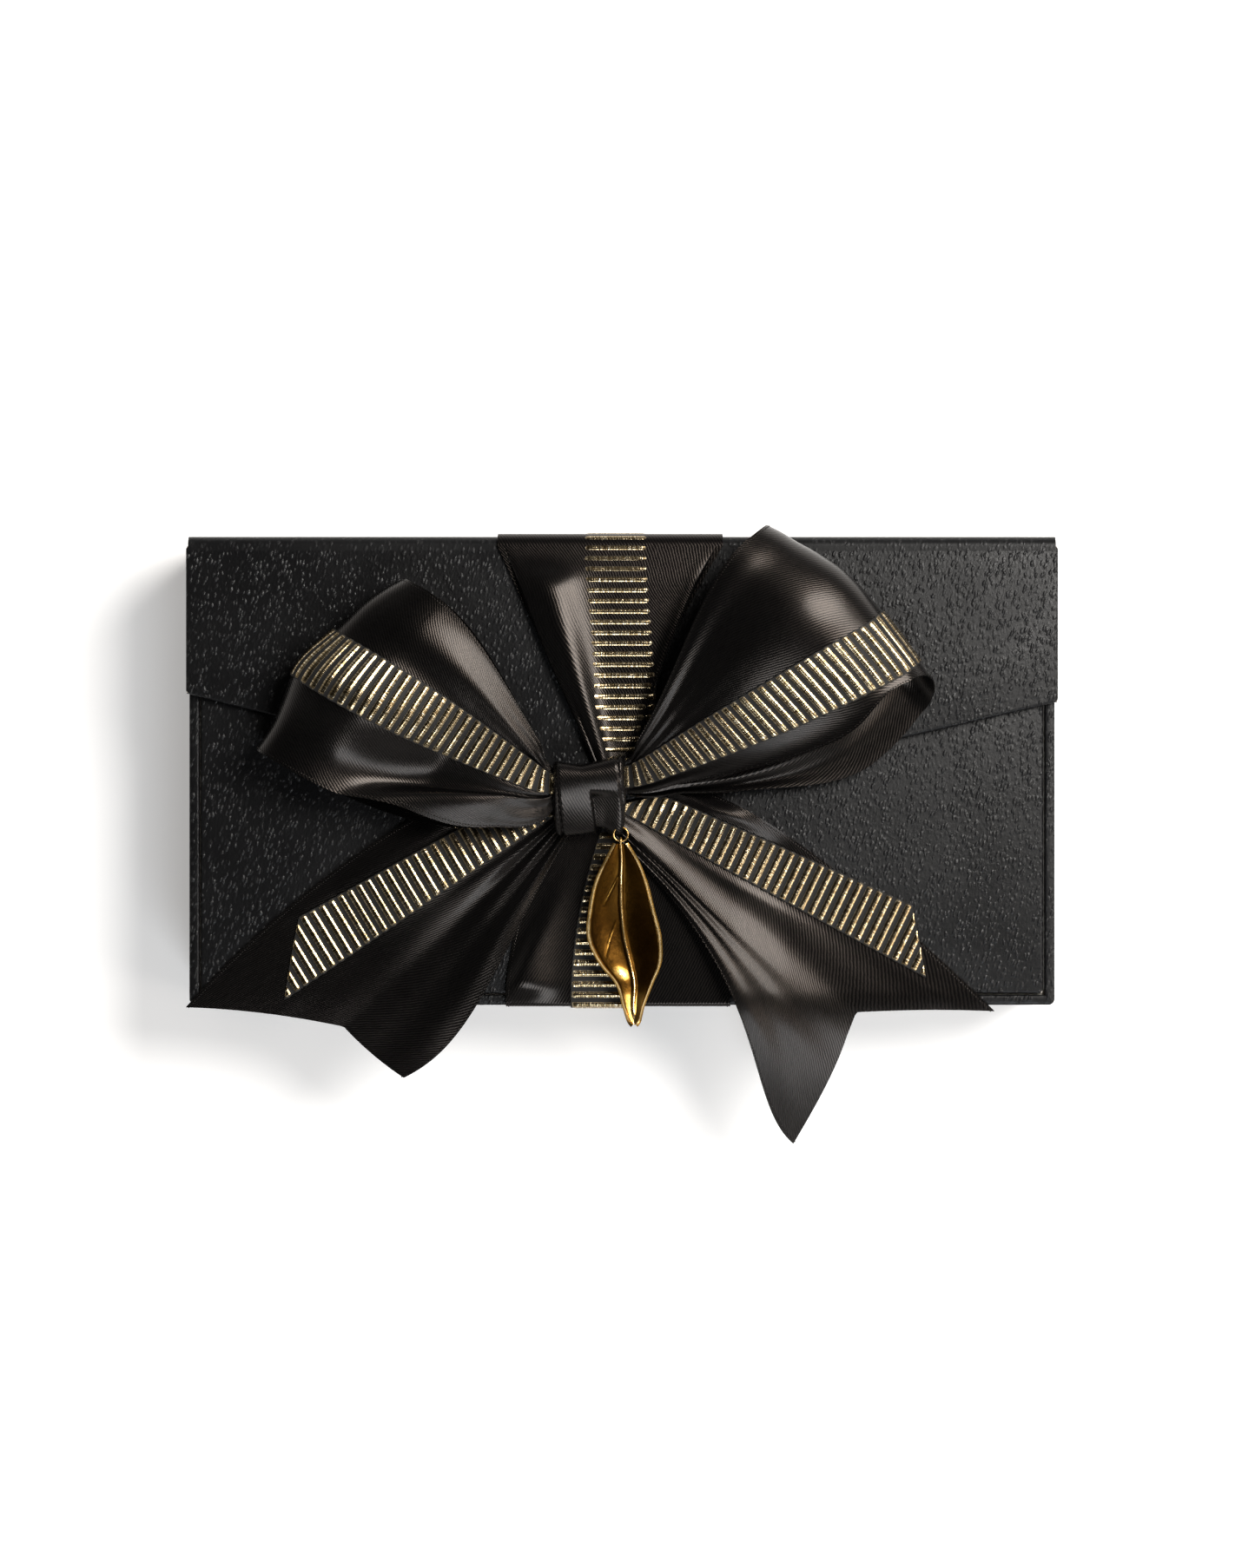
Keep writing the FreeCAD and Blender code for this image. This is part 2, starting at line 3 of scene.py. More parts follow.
import bpy
import numpy as np
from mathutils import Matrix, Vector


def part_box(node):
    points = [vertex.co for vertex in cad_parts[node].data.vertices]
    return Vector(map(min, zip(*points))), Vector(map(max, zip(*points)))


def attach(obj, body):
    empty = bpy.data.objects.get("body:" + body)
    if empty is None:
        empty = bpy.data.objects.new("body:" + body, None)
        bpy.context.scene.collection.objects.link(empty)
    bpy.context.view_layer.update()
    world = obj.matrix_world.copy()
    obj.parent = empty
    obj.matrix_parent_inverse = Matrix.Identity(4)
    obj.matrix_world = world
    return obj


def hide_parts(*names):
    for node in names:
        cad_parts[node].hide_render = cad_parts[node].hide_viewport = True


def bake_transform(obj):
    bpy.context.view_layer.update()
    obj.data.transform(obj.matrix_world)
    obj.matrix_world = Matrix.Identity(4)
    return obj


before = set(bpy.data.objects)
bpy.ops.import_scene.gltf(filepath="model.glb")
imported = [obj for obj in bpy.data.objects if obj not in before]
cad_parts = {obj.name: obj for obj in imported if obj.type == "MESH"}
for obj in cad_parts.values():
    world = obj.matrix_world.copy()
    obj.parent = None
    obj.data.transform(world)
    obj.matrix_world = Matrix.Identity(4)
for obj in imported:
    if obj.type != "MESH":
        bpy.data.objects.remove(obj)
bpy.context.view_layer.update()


# Boards. The base, the four walls, the lower panel with its ledges and the flap are cut from 2 mm grey
# pulp board and glued edge to edge. The papers cover them, so board shows only where a paper ends.
def set_inputs(tree, made, inputs):
    """Gives a node its inputs. An input that is another node's output is linked."""
    for key, value in inputs.items():
        if isinstance(value, bpy.types.NodeSocket):
            tree.links.new(value, made.inputs[key])
        else:
            made.inputs[key].default_value = value


def node(tree, kind, inputs=None, **settings):
    """A new node in a shader or geometry tree."""
    made = tree.nodes.new(kind)
    for key, value in settings.items():
        setattr(made, key, value)
    set_inputs(tree, made, inputs or {})
    return made


def figure(tree, operation, *values):
    """A sum on one or more numbers, such as MULTIPLY or SINE."""
    return node(tree, "ShaderNodeMath", dict(enumerate(values)), operation=operation).outputs[0]


def ramp(tree, factor, *stops):
    """A colour ramp through (place, colour) stops."""
    made = node(tree, "ShaderNodeValToRGB", {"Fac": factor})
    elements = made.color_ramp.elements
    while len(elements) < len(stops):
        elements.new(1.0)
    for element, (place, colour) in zip(elements, stops):
        element.position = place
        element.color = (*colour, 1)
    return made.outputs["Color"]


def start_material(name, numbers):
    """A new material with the numbers that are the same all over it: the material, its tree, its shader."""
    material = bpy.data.materials.new(name)
    material.use_nodes = True
    tree = material.node_tree
    shader = tree.nodes["Principled BSDF"]
    set_inputs(tree, shader, numbers)
    return material, tree, shader


def object_place(tree):
    return node(tree, "ShaderNodeTexCoord").outputs["Object"]


def noise(tree, place, scale, detail=4.0):
    made = node(tree, "ShaderNodeTexNoise", {"Vector": place, "Scale": scale, "Detail": detail})
    return made.outputs["Fac"]


def spread_over(tree, value, low, high, to_low, to_high):
    """A value between low and high, carried smoothly over to another pair of limits."""
    made = node(tree, "ShaderNodeMapRange", {"Value": value, "From Min": low, "From Max": high,
                                             "To Min": to_low, "To Max": to_high},
                interpolation_type="SMOOTHSTEP")
    return made.outputs["Result"]


def bump(tree, shader, height, depth, strength=1.0):
    """Relief on a surface, on top of the relief that it has already. depth is in metres."""
    made = node(tree, "ShaderNodeBump", {"Height": height, "Distance": depth, "Strength": strength})
    normal = shader.inputs["Normal"]
    if normal.is_linked:
        tree.links.new(normal.links[0].from_socket, made.inputs["Normal"])
    tree.links.new(made.outputs["Normal"], normal)


def dress(material, *names):
    """Gives CAD nodes a material."""
    for name in names:
        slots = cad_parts[name].data.materials
        slots.clear()
        slots.append(material)


greyboard, tree, shader = start_material("greyboard_pulp", {"Roughness": 0.92})
place = object_place(tree)
fibres = noise(tree, place, 900.0, 8.0)
tone = ramp(tree, fibres, (0.3, (0.2, 0.185, 0.165)), (0.5, (0.3, 0.28, 0.25)), (0.72, (0.42, 0.4, 0.36)))
set_inputs(tree, shader, {"Base Color": tone})
bump(tree, shader, fibres, 0.0002, 0.6)
bump(tree, shader, noise(tree, place, 160.0), 0.0002, 0.4)
dress(greyboard, "base_board", "front_wall", "back_wall", "left_wall", "right_wall", "panel_board",
      "front_ledge", "left_ledge", "right_ledge", "flap_board")


# Tray wrap. One sheet of black pebbled leatherette paper goes round the walls, is turned in over the
# rim and is turned under the base. It is glued down, so it takes the small round of the board's edges.
MM = 0.001
paper = 0.25
board = 2.0
corner_radius = 1.6
least_radius = 0.1
rim_turn_in = 12.0
base_turn_in = 14.0
edge_round = 0.7
inner_edge_round = 0.5
rim_round_in, rim_round_down = 1.6, 0.5
corner_steps = 8
edge_steps = 5
rim_steps = 12


def node_box(name):
    """The lowest and the highest corner of a CAD node, in millimetres."""
    return [np.array(corner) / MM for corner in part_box(name)]


def pebbled_paper(name, grain_depth, roughness):
    """Black leatherette paper: small raised grains, longer than wide, on a finely wrinkled ground."""
    material, tree, shader = start_material(name, {"Specular IOR Level": 0.19})
    place = object_place(tree)
    warp = node(tree, "ShaderNodeTexNoise", {"Vector": place, "Scale": 500.0, "Detail": 3.0})
    warp = node(tree, "ShaderNodeVectorMath", {0: warp.outputs["Color"], "Scale": 0.0011}, operation="SCALE")
    moved = node(tree, "ShaderNodeVectorMath", {0: place, 1: warp.outputs[0]}, operation="ADD").outputs[0]
    moved = node(tree, "ShaderNodeMapping", {"Vector": moved, "Rotation": (0, 0, -0.3), "Scale": (1, 1.9, 1)},
                 vector_type="TEXTURE").outputs["Vector"]
    cells = node(tree, "ShaderNodeTexVoronoi", {"Vector": moved, "Scale": 1150.0})
    size = node(tree, "ShaderNodeSeparateColor", {"Color": cells.outputs["Color"]}).outputs["Red"]
    dome = spread_over(tree, cells.outputs["Distance"], 0.1, 0.6, 1.0, 0.0)
    grain = figure(tree, "MULTIPLY", dome, figure(tree, "POWER", size, 1.2))
    tone = ramp(tree, grain, (0.0, (0.004, 0.004, 0.0043)), (0.8, (0.011, 0.011, 0.0115)))
    rubbed = spread_over(tree, noise(tree, place, 60.0), 0.3, 0.7, roughness - 0.05, roughness + 0.05)
    set_inputs(tree, shader, {"Base Color": tone, "Roughness": rubbed})
    bump(tree, shader, grain, grain_depth)
    bump(tree, shader, noise(tree, moved, 1700.0, 4.0), grain_depth * 0.5, 0.6)
    bump(tree, shader, noise(tree, place, 22.0, 2.0), 0.0008, 0.5)
    return material


def grid_faces(rows, columns, wrap_rows=False, wrap_columns=False):
    """The quads between rows of points, where a wrap joins the last row or column to the first."""
    i, j = np.meshgrid(np.arange(rows - (not wrap_rows)), np.arange(columns - (not wrap_columns)),
                       indexing="ij")
    next_i, next_j = (i + 1) % rows, (j + 1) % columns
    corners = (i * columns + j, i * columns + next_j, next_i * columns + next_j, next_i * columns + j)
    return np.stack(corners, axis=-1).reshape(-1, 4).tolist()


def make_piece(name, points, faces, material, sharp=40):
    """A mesh object from points in millimetres."""
    mesh = bpy.data.meshes.new(name)
    mesh.from_pydata((np.asarray(points).reshape(-1, 3) * MM).tolist(), [], faces)
    mesh.materials.append(material)
    mesh.shade_smooth()
    mesh.set_sharp_from_angle(angle=math.radians(sharp))
    piece = bpy.data.objects.new(name, mesh)
    bpy.context.scene.collection.objects.link(piece)
    return piece


def edge_arc(inset, z, radius, start, end):
    """Profile points (inset, height) round an edge. 0 degrees points out of the box, 90 up."""
    turns = np.radians(np.linspace(start, end, edge_steps + 1))
    return [(inset - radius * math.cos(turn), z + radius * math.sin(turn)) for turn in turns]


leatherette = pebbled_paper("pebbled_leatherette", 0.00026, 0.38)
tray_low, tray_high = node_box("tray_wrap")
half_length, back, rim = tray_high
box_bottom = tray_low[2]
front = -back
wall_inset = paper + board
inner_inset = wall_inset + paper
turn_in_end = rim - rim_turn_in


def plan_ring(inset, z):
    """The box's plan drawn in by an inset, with rounded corners."""
    radius = max(corner_radius - inset, least_radius)
    ring = []
    for quarter, (x_side, y_side) in enumerate(((1, 1), (-1, 1), (-1, -1), (1, -1))):
        turns = np.radians(np.linspace(0, 90, corner_steps + 1) + 90 * quarter)
        x = x_side * (half_length - inset - radius) + radius * np.cos(turns)
        y = y_side * (back - inset - radius) + radius * np.sin(turns)
        ring.append(np.column_stack((x, y, np.full_like(x, z))))
    return np.vstack(ring)


wrap_profile = [(base_turn_in, box_bottom), *edge_arc(edge_round, box_bottom + edge_round, edge_round, -90, 0),
                *((rim_round_in * (1 - math.cos(turn)), rim - rim_round_down * (1 - math.sin(turn)))
                  for turn in np.radians(np.linspace(0, 90, rim_steps + 1))),
                *edge_arc(inner_inset - inner_edge_round, rim - inner_edge_round, inner_edge_round, 90, 180),
                (inner_inset, turn_in_end), (wall_inset, turn_in_end), (wall_inset, rim - paper),
                (paper, rim - paper), (paper, box_bottom + paper), (base_turn_in, box_bottom + paper)]
rings = [plan_ring(inset, z) for inset, z in wrap_profile]
tray_wrap = make_piece("tray_wrap_paper", rings, grid_faces(len(rings), len(rings[0]), True, True), leatherette)
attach(tray_wrap, "tray")
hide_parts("tray_wrap")


# Linings. Smooth matt black paper is pasted on the tray's floor and walls, under the flap and, as a
# square-cut sheet, over the turned-under edges of the wrap on the base.
lining, tree, shader = start_material("matt_lining_paper", {"Specular IOR Level": 0.3})
place = object_place(tree)
pulp = noise(tree, place, 1400.0, 8.0)
tone = ramp(tree, pulp, (0.35, (0.015, 0.015, 0.016)), (0.7, (0.026, 0.026, 0.027)))
matt = spread_over(tree, noise(tree, place, 90.0), 0.3, 0.7, 0.72, 0.86)
set_inputs(tree, shader, {"Base Color": tone, "Roughness": matt})
bump(tree, shader, pulp, 0.00008, 0.6)
dress(lining, "floor_lining", "wall_lining", "base_paper", "flap_lining")


# Lower panel. A V-edged board covered in the same leatherette lies inside the rim on three ledges,
# glued down. Its paper goes over the top and down the board's edges.
flap_side_depths = (39.8, 42.0)
panel_corner = 1.2


def rounded_plan(corners, radii, inset):
    """An outline, drawn anticlockwise and drawn in by an inset. Its outer corners are rounded."""
    corners = np.asarray(corners, float)
    ring = []
    for index, radius in enumerate(radii):
        here = corners[index]
        before = here - corners[index - 1]
        after = corners[(index + 1) % len(corners)] - here
        normals = np.array([(way[1], -way[0]) / np.linalg.norm(way) for way in (before, after)])
        if radius == 0:
            ring.append(np.linalg.solve(normals, normals @ here - inset))
            continue
        centre = np.linalg.solve(normals, normals @ here - radius)
        start, end = np.arctan2(normals[:, 1], normals[:, 0])
        for turn in np.linspace(start, start + (end - start) % (2 * math.pi), corner_steps + 1):
            ring.append(centre + (radius - inset) * np.array((math.cos(turn), math.sin(turn))))
    return np.array(ring)


def wrapped_plate(name, corners, radii, z0, z1):
    """Paper over a plate: an outer face with a rounded upper edge, and an inner face a paper's thickness in."""
    profile = [(paper, z1 - paper), (paper, z0), (0, z0),
               *edge_arc(edge_round, z1 - edge_round, edge_round, 0, 90)]
    rings = []
    for inset, z in profile:
        ring = rounded_plan(corners, radii, inset)
        rings.append(np.column_stack((ring, np.full(len(ring), z))))
    columns = len(rings[0])
    faces = grid_faces(len(rings), columns, wrap_columns=True)
    faces.append(list(range(columns))[::-1])
    faces.append(list(range((len(rings) - 1) * columns, len(rings) * columns)))
    return make_piece(name, rings, faces, leatherette)


flap_low, flap_high = node_box("flap_wrap")
flap_half, flap_rear, flap_top = flap_high
flap_tip = flap_low[1]
left_slope, right_slope = ((back - depth - flap_tip) / flap_half for depth in flap_side_depths)
panel_low, panel_high = node_box("panel_wrap")
panel_half = panel_high[0]
panel_tip = panel_high[1] - max(left_slope, right_slope) * panel_half
panel_corners = [(-panel_half, panel_low[1]), (panel_half, panel_low[1]),
                 (panel_half, panel_tip + right_slope * panel_half), (0, panel_tip),
                 (-panel_half, panel_tip + left_slope * panel_half)]
panel_wrap = wrapped_plate("panel_wrap_paper", panel_corners, (panel_corner,) * 3 + (0, panel_corner),
                           panel_low[2], rim)
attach(panel_wrap, "tray")
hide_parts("panel_wrap")


# Magnet and keeper. A nickel-plated disc magnet is let into the underside of the flap's tip, and a
# plated steel disc into the lower panel, both under the papers.
plated, tree, shader = start_material("plated_disc", {"Metallic": 1.0, "Base Color": (0.62, 0.62, 0.63, 1)})
place = object_place(tree)
brushed = node(tree, "ShaderNodeMapping", {"Vector": place, "Scale": (1, 0.05, 1)}).outputs["Vector"]
scratches = noise(tree, brushed, 3000.0, 3.0)
set_inputs(tree, shader, {"Roughness": spread_over(tree, scratches, 0.3, 0.7, 0.22, 0.4)})
bump(tree, shader, scratches, 0.00002, 0.5)
dress(plated, "flap_magnet", "keeper_plate")


# Flap. A V-edged board in the same leatherette covers the rear half of the box. The paper is turned
# over the board's edges, and the rear corners are folded round.
flap_corner = 1.2
flap_tip_round = 4.0
flap_rear_corner = 0.8
flap_corners = [(-flap_half, flap_tip + left_slope * flap_half), (0, flap_tip),
                (flap_half, flap_tip + right_slope * flap_half),
                (flap_half, flap_rear), (-flap_half, flap_rear)]
flap_radii = (flap_corner, flap_tip_round, flap_corner, flap_rear_corner, flap_rear_corner)
flap_wrap = wrapped_plate("flap_wrap_paper", flap_corners, flap_radii, flap_low[2], flap_top)
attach(flap_wrap, "flap")
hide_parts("flap_wrap")


# Hinge. A strip of the leatherette, stretched smooth, bends over the back edge from the back wall to
# the flap and is the flap's only hinge.
hinge_steps = 14
hinge_tab = 1.2
hinge_proud = 0.03
flap_thick = flap_top - rim


def hinge_side(radius):
    """One face of the hinge paper from its side, as (y, z): off the back wall, round and onto the flap."""
    turns = np.radians(np.linspace(0, 90, hinge_steps + 1))
    bend = [(flap_rear + radius * math.cos(turn), rim + radius * math.sin(turn)) for turn in turns]
    return [(flap_rear + radius, rim - hinge_tab), *bend, (flap_rear - hinge_tab, rim + radius)]


hinge_paper_finish = pebbled_paper("stretched_leatherette", 0.00008, 0.4)
hinge_section = hinge_side(flap_thick + hinge_proud) + hinge_side(flap_thick - paper)[::-1]
rows = [[(x, y, z) for y, z in hinge_section] for x in (half_length, -half_length)]
columns = len(hinge_section)
hinge_faces = grid_faces(2, columns, wrap_columns=True) + [list(range(columns))[::-1]]
hinge_faces.append(list(range(columns, 2 * columns)))
hinge_paper = make_piece("hinge_paper", rows, hinge_faces, hinge_paper_finish)
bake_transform(hinge_paper)
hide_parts("hinge_strip")


# Satin band round the tray. A 57 mm black double-face satin ribbon, with a stitched-looking selvedge
# along both edges, lies on the lower panel, turns down the front, goes under the base and up the back.
satin_width = 57.0
satin_thick = 0.4
lay = 0.08
satin_front_x = -1.0
satin_back_x = -3.0
flap_gap = 0.4
lower_end = flap_tip - flap_gap
lower_satin_waist = 22.0
lower_narrowing = 2.0
lower_pleat = 0.3
lower_pleat_pitch = 40 / 2.6
lower_swell = 2.8
swell_x, swell_half = -25.5, 8.0
swell_edge = (-16.0, -25.0)
swell_edge_way = (0.862, -0.506)
swell_fade = 6.0
band_step = 1.5
satin_columns = 61
selvedge_inset = 0.024
stitch_pitch = 0.75
stitch_size = (0.52, 0.36, 0.3)


def satin_finish():
    """Black satin: long floats that shine along the cloth, a fine twill under them and a warm sheen."""
    material, tree, shader = start_material("black_satin_weave", {
        "Specular IOR Level": 0.2, "Anisotropic": 0.2, "Specular Tint": (1.0, 0.84, 0.73, 1),
        "Coat Weight": 0.1, "Coat Roughness": 0.2})
    cloth = node(tree, "ShaderNodeUVMap", uv_map="cloth").outputs["UV"]
    twill = node(tree, "ShaderNodeTexWave", {"Vector": node(tree, "ShaderNodeMapping", {
        "Vector": cloth, "Rotation": (0, 0, 0.55)}).outputs["Vector"], "Scale": 480.0, "Distortion": 1.5,
        "Detail": 1.0})
    threads = node(tree, "ShaderNodeMapping", {"Vector": cloth, "Scale": (1.0, 0.06, 1.0)}).outputs["Vector"]
    floats = noise(tree, threads, 5200.0, 3.0)
    tone = ramp(tree, floats, (0.3, (0.0009, 0.0009, 0.001)), (0.7, (0.0022, 0.0021, 0.0021)))
    weave = figure(tree, "MULTIPLY_ADD", twill.outputs["Fac"], 0.6, figure(tree, "MULTIPLY", floats, 0.6))
    tangent = node(tree, "ShaderNodeTangent", direction_type="UV_MAP", uv_map="cloth").outputs["Tangent"]
    set_inputs(tree, shader, {"Base Color": tone, "Tangent": tangent,
                              "Roughness": spread_over(tree, weave, 0.2, 1.0, 0.2, 0.34)})
    bump(tree, shader, twill.outputs["Fac"], 0.000025)
    bump(tree, shader, floats, 0.00002, 0.6)
    return material


def new_tree(name, **sockets):
    """A geometry tree that takes a mesh and named inputs: the tree, its input node, its output node."""
    tree = bpy.data.node_groups.new(name, "GeometryNodeTree")
    tree.interface.new_socket("Geometry", in_out="INPUT", socket_type="NodeSocketGeometry")
    tree.interface.new_socket("Geometry", in_out="OUTPUT", socket_type="NodeSocketGeometry")
    for key, kind in sockets.items():
        tree.interface.new_socket(key.replace("_", " "), in_out="INPUT", socket_type="NodeSocket" + kind)
    return tree, node(tree, "NodeGroupInput").outputs, node(tree, "NodeGroupOutput")


def named(tree, name, kind):
    """A named attribute of the mesh that a geometry tree works on."""
    return node(tree, "GeometryNodeInputNamedAttribute", {"Name": name}, data_type=kind).outputs["Attribute"]


def close_tree(tree, end, geometry, material):
    """Ends a geometry tree in plain faces of one material."""
    real = node(tree, "GeometryNodeRealizeInstances", {"Geometry": geometry})
    painted = node(tree, "GeometryNodeSetMaterial", {"Geometry": real.outputs[0], "Material": material})
    tree.links.new(painted.outputs[0], end.inputs[0])


def settle(piece, tree, values):
    """Runs a geometry tree on a piece and keeps the result as the piece's own plain mesh."""
    modifier = piece.modifiers.new(tree.name, "NODES")
    modifier.node_group = tree
    for item in tree.interface.items_tree:
        if item.in_out == "INPUT" and item.name in values:
            modifier[item.identifier] = values[item.name]
    piece.data.update()
    graph = bpy.context.evaluated_depsgraph_get()
    mesh = bpy.data.meshes.new_from_object(piece.evaluated_get(graph))
    piece.modifiers.remove(modifier)
    piece.data = mesh


stitching, given, end = new_tree("selvedge_stitches", Pitch="Float", Size="Vector", Material="Material")
chosen = named(stitching, "selvedge", "BOOLEAN")
kept_normal = node(stitching, "GeometryNodeStoreNamedAttribute", {
    "Geometry": given["Geometry"], "Name": "stitch_up",
    "Value": node(stitching, "GeometryNodeInputNormal").outputs["Normal"]},
    data_type="FLOAT_VECTOR", domain="POINT")
lines = node(stitching, "GeometryNodeMeshToCurve", {"Mesh": kept_normal.outputs["Geometry"],
                                                    "Selection": chosen})
spots = node(stitching, "GeometryNodeResampleCurve", {"Curve": lines.outputs["Curve"],
                                                      "Length": given["Pitch"]}, mode="LENGTH")
along_line = node(stitching, "FunctionNodeAlignRotationToVector", {
    "Vector": node(stitching, "GeometryNodeInputTangent").outputs["Tangent"]}, axis="X")
turned = node(stitching, "FunctionNodeAlignRotationToVector", {
    "Rotation": along_line.outputs["Rotation"], "Vector": named(stitching, "stitch_up", "FLOAT_VECTOR")},
    axis="Z", pivot_axis="X")
stitch = node(stitching, "GeometryNodeMeshUVSphere", {"Segments": 6, "Rings": 4, "Radius": 0.5})
stitches = node(stitching, "GeometryNodeInstanceOnPoints", {
    "Points": spots.outputs["Curve"], "Instance": stitch.outputs["Mesh"],
    "Rotation": turned.outputs["Rotation"], "Scale": given["Size"]})
whole = node(stitching, "GeometryNodeJoinGeometry")
stitching.links.new(stitches.outputs["Instances"], whole.inputs[0])
stitching.links.new(given["Geometry"], whole.inputs[0])
close_tree(stitching, end, whole.outputs[0], given["Material"])


def smooth(share):
    t = np.clip(share, 0.0, 1.0)
    return t * t * (3 - 2 * t)


def between(start, end, share):
    return start + (end - start) * share


def grid_normals(face):
    normal = np.cross(np.gradient(face, axis=1), np.gradient(face, axis=0))
    return normal / np.linalg.norm(normal, axis=2, keepdims=True)


def run_lengths(face):
    """How far each row of a grid is along the ribbon, measured on its middle column."""
    middle = face[:, face.shape[1] // 2]
    return np.concatenate(([0.0], np.cumsum(np.linalg.norm(np.diff(middle, axis=0), axis=1))))


def square_rows(face):
    """Places along the ribbon of a grid whose rows lie square across the cloth."""
    return np.repeat(run_lengths(face)[:, None], face.shape[1], axis=1)


def shell(face, thick):
    """The points and faces of a closed sheet under a grid of points on its face."""
    rows, columns = face.shape[:2]
    count = rows * columns
    points = np.concatenate([side.reshape(-1, 3) for side in (face, face - thick * grid_normals(face))])
    faces = np.array(grid_faces(rows, columns))
    edge = np.concatenate((np.arange(columns), np.arange(2, rows) * columns - 1,
                           np.arange(count - 1, count - columns - 1, -1), np.arange(rows - 2, 0, -1) * columns))
    following = np.roll(edge, -1)
    sides = np.column_stack((following, edge, edge + count, following + count))
    return points, np.concatenate((faces, faces[:, ::-1] + count, sides))


def map_cloth(piece, flat):
    """The map called cloth: each point's place on the flat ribbon, given in millimetres, in metres."""
    corners = np.empty(len(piece.data.loops), int)
    piece.data.loops.foreach_get("vertex_index", corners)
    layer = piece.data.uv_layers.new(name="cloth")
    layer.uv.foreach_set("vector", (np.asarray(flat) * MM)[corners].astype(np.float32).ravel())


def mark(piece, name, kind, values):
    """Gives each point of a piece a value that a geometry tree or a material reads by name."""
    piece.data.attributes.new(name, kind, "POINT").data.foreach_set("value", values.ravel())


def ribbon(name, face, thick, width, material, along):
    """A closed ribbon under a grid of points on its face. Rows run along the ribbon, columns across it."""
    points, faces = shell(face, thick)
    piece = make_piece(name, points, faces.tolist(), material)
    across = np.cumsum(np.linalg.norm(np.diff(face, axis=1, prepend=face[:, :1]), axis=2), axis=1)
    across = (across / across[:, -1:] - 0.5).ravel() * width
    map_cloth(piece, np.tile(np.column_stack((across, along.ravel())), (2, 1)))
    return piece


def satin_shares():
    """Where the columns of a satin ribbon lie, from -1 to 1. The second and last but one hold the stitches."""
    inner = np.linspace(-1 + selvedge_inset, 1 - selvedge_inset, satin_columns - 2)
    return np.concatenate(([-1.0], inner, [1.0]))


def satin_piece(name, face):
    piece = ribbon(name, face, satin_thick, satin_width, satin, square_rows(face))
    rows, columns = face.shape[:2]
    chosen = np.zeros((2, rows, columns), bool)
    chosen[0, :, [1, columns - 2]] = True
    mark(piece, "selvedge", "BOOLEAN", chosen)
    settle(piece, stitching, {"Pitch": stitch_pitch * MM, "Size": [size * MM for size in stitch_size],
                              "Material": satin})
    return piece


def side_arc(y, z, radius, start, end, steps=8):
    turns = np.radians(np.linspace(start, end, steps + 1))
    return np.column_stack((y + radius * np.cos(turns), z + radius * np.sin(turns)))


def side_line(start, end, step):
    count = max(2, int(np.hypot(end[0] - start[0], end[1] - start[1]) / step))
    return np.linspace(start, end, count + 1)[1:-1]


def tray_path(lift, step):
    """The band's face from the side, as (y, z): on the panel, down the front, under the base, up the back."""
    turn = edge_round + lift
    corners = [side_arc(front + edge_round, rim - edge_round, turn, 90, 180),
               side_arc(front + edge_round, box_bottom + edge_round, turn, 180, 270),
               side_arc(back - edge_round, box_bottom + edge_round, turn, 270, 360)]
    path = [np.array([(lower_end, rim + lift)])]
    for corner in corners:
        path += [side_line(path[-1][-1], corner[0], step), corner]
    end = (back + lift, rim)
    path += [side_line(path[-1][-1], end, step), np.array([end])]
    return np.concatenate(path)


def path_length(path):
    """The length of a side path, in metres."""
    return np.linalg.norm(np.diff(path, axis=0), axis=1).sum() * MM


def band_face(x, y, z):
    """A band's face from places across it and heights, in rows that lie at y."""
    return np.stack((x, np.broadcast_to(y[:, None], x.shape), z), axis=2)


def tray_band(path, shares, front_x, back_x, bow_x, width, waist):
    """A band's face on a side path. The band narrows towards the bow, swells at the left beside the tail
    and slants under the base."""
    y, z = path.T
    on_panel = z > rim
    narrowing = np.where(on_panel, np.clip((y - front) / (lower_end - front), 0, 1), 0)
    half = between(width, waist, narrowing ** lower_narrowing) / 2
    middle = between(front_x, back_x, np.where(on_panel, 0, smooth((y - front) / (back - front))))
    middle = between(middle, bow_x, narrowing ** lower_narrowing)
    x = middle[:, None] - half[:, None] * shares
    waves = np.cos(2 * math.pi * (x - satin_front_x) / lower_pleat_pitch)
    pleats = lower_pleat * narrowing[:, None] * (1 + waves) / 2
    off_tail = swell_edge_way[0] * (x - swell_edge[0]) + swell_edge_way[1] * (y[:, None] - swell_edge[1])
    off_front = smooth((y - front) / swell_fade) * on_panel
    swell = lower_swell * off_front[:, None] * smooth(off_tail / swell_fade)
    swell = swell * np.exp(-((x - swell_x) / swell_half) ** 2)
    return band_face(x, y, z[:, None] + pleats + swell)


satin = satin_finish()
satin_band = satin_piece("satin_tray_band", tray_band(tray_path(satin_thick, band_step), satin_shares(),
                                                      satin_front_x, satin_back_x, satin_front_x,
                                                      satin_width, lower_satin_waist))
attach(satin_band, "tray")
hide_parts("satin_lower_run", "satin_front_run", "satin_under_run", "satin_back_run")
tray_length = path_length(tray_path(satin_thick, band_step))


# Gold band round the tray. A 16 mm black grosgrain ribbon with ribs of gold metallic thread across it
# lies on the satin all the way round.
gold_width = 16.0
gold_thick = 0.5
gold_front_x = -5.0
gold_back_x = -1.6
lower_gold_x = -1.2
lower_gold_waist = 3.0
rib_pitch = 2.7
rib_height = 0.34
rib_cover = -0.12
rib_fade = (-0.18, 0.12)
rib_edge_height = 0.5
rows_per_rib = 9
gold_columns = 13
bare_edge = (0.8, 0.2)
edge_wander = 2.4
gold_base = gold_thick - rib_height
gold_step = rib_pitch / rows_per_rib
gold_shares = np.linspace(-1, 1, gold_columns)


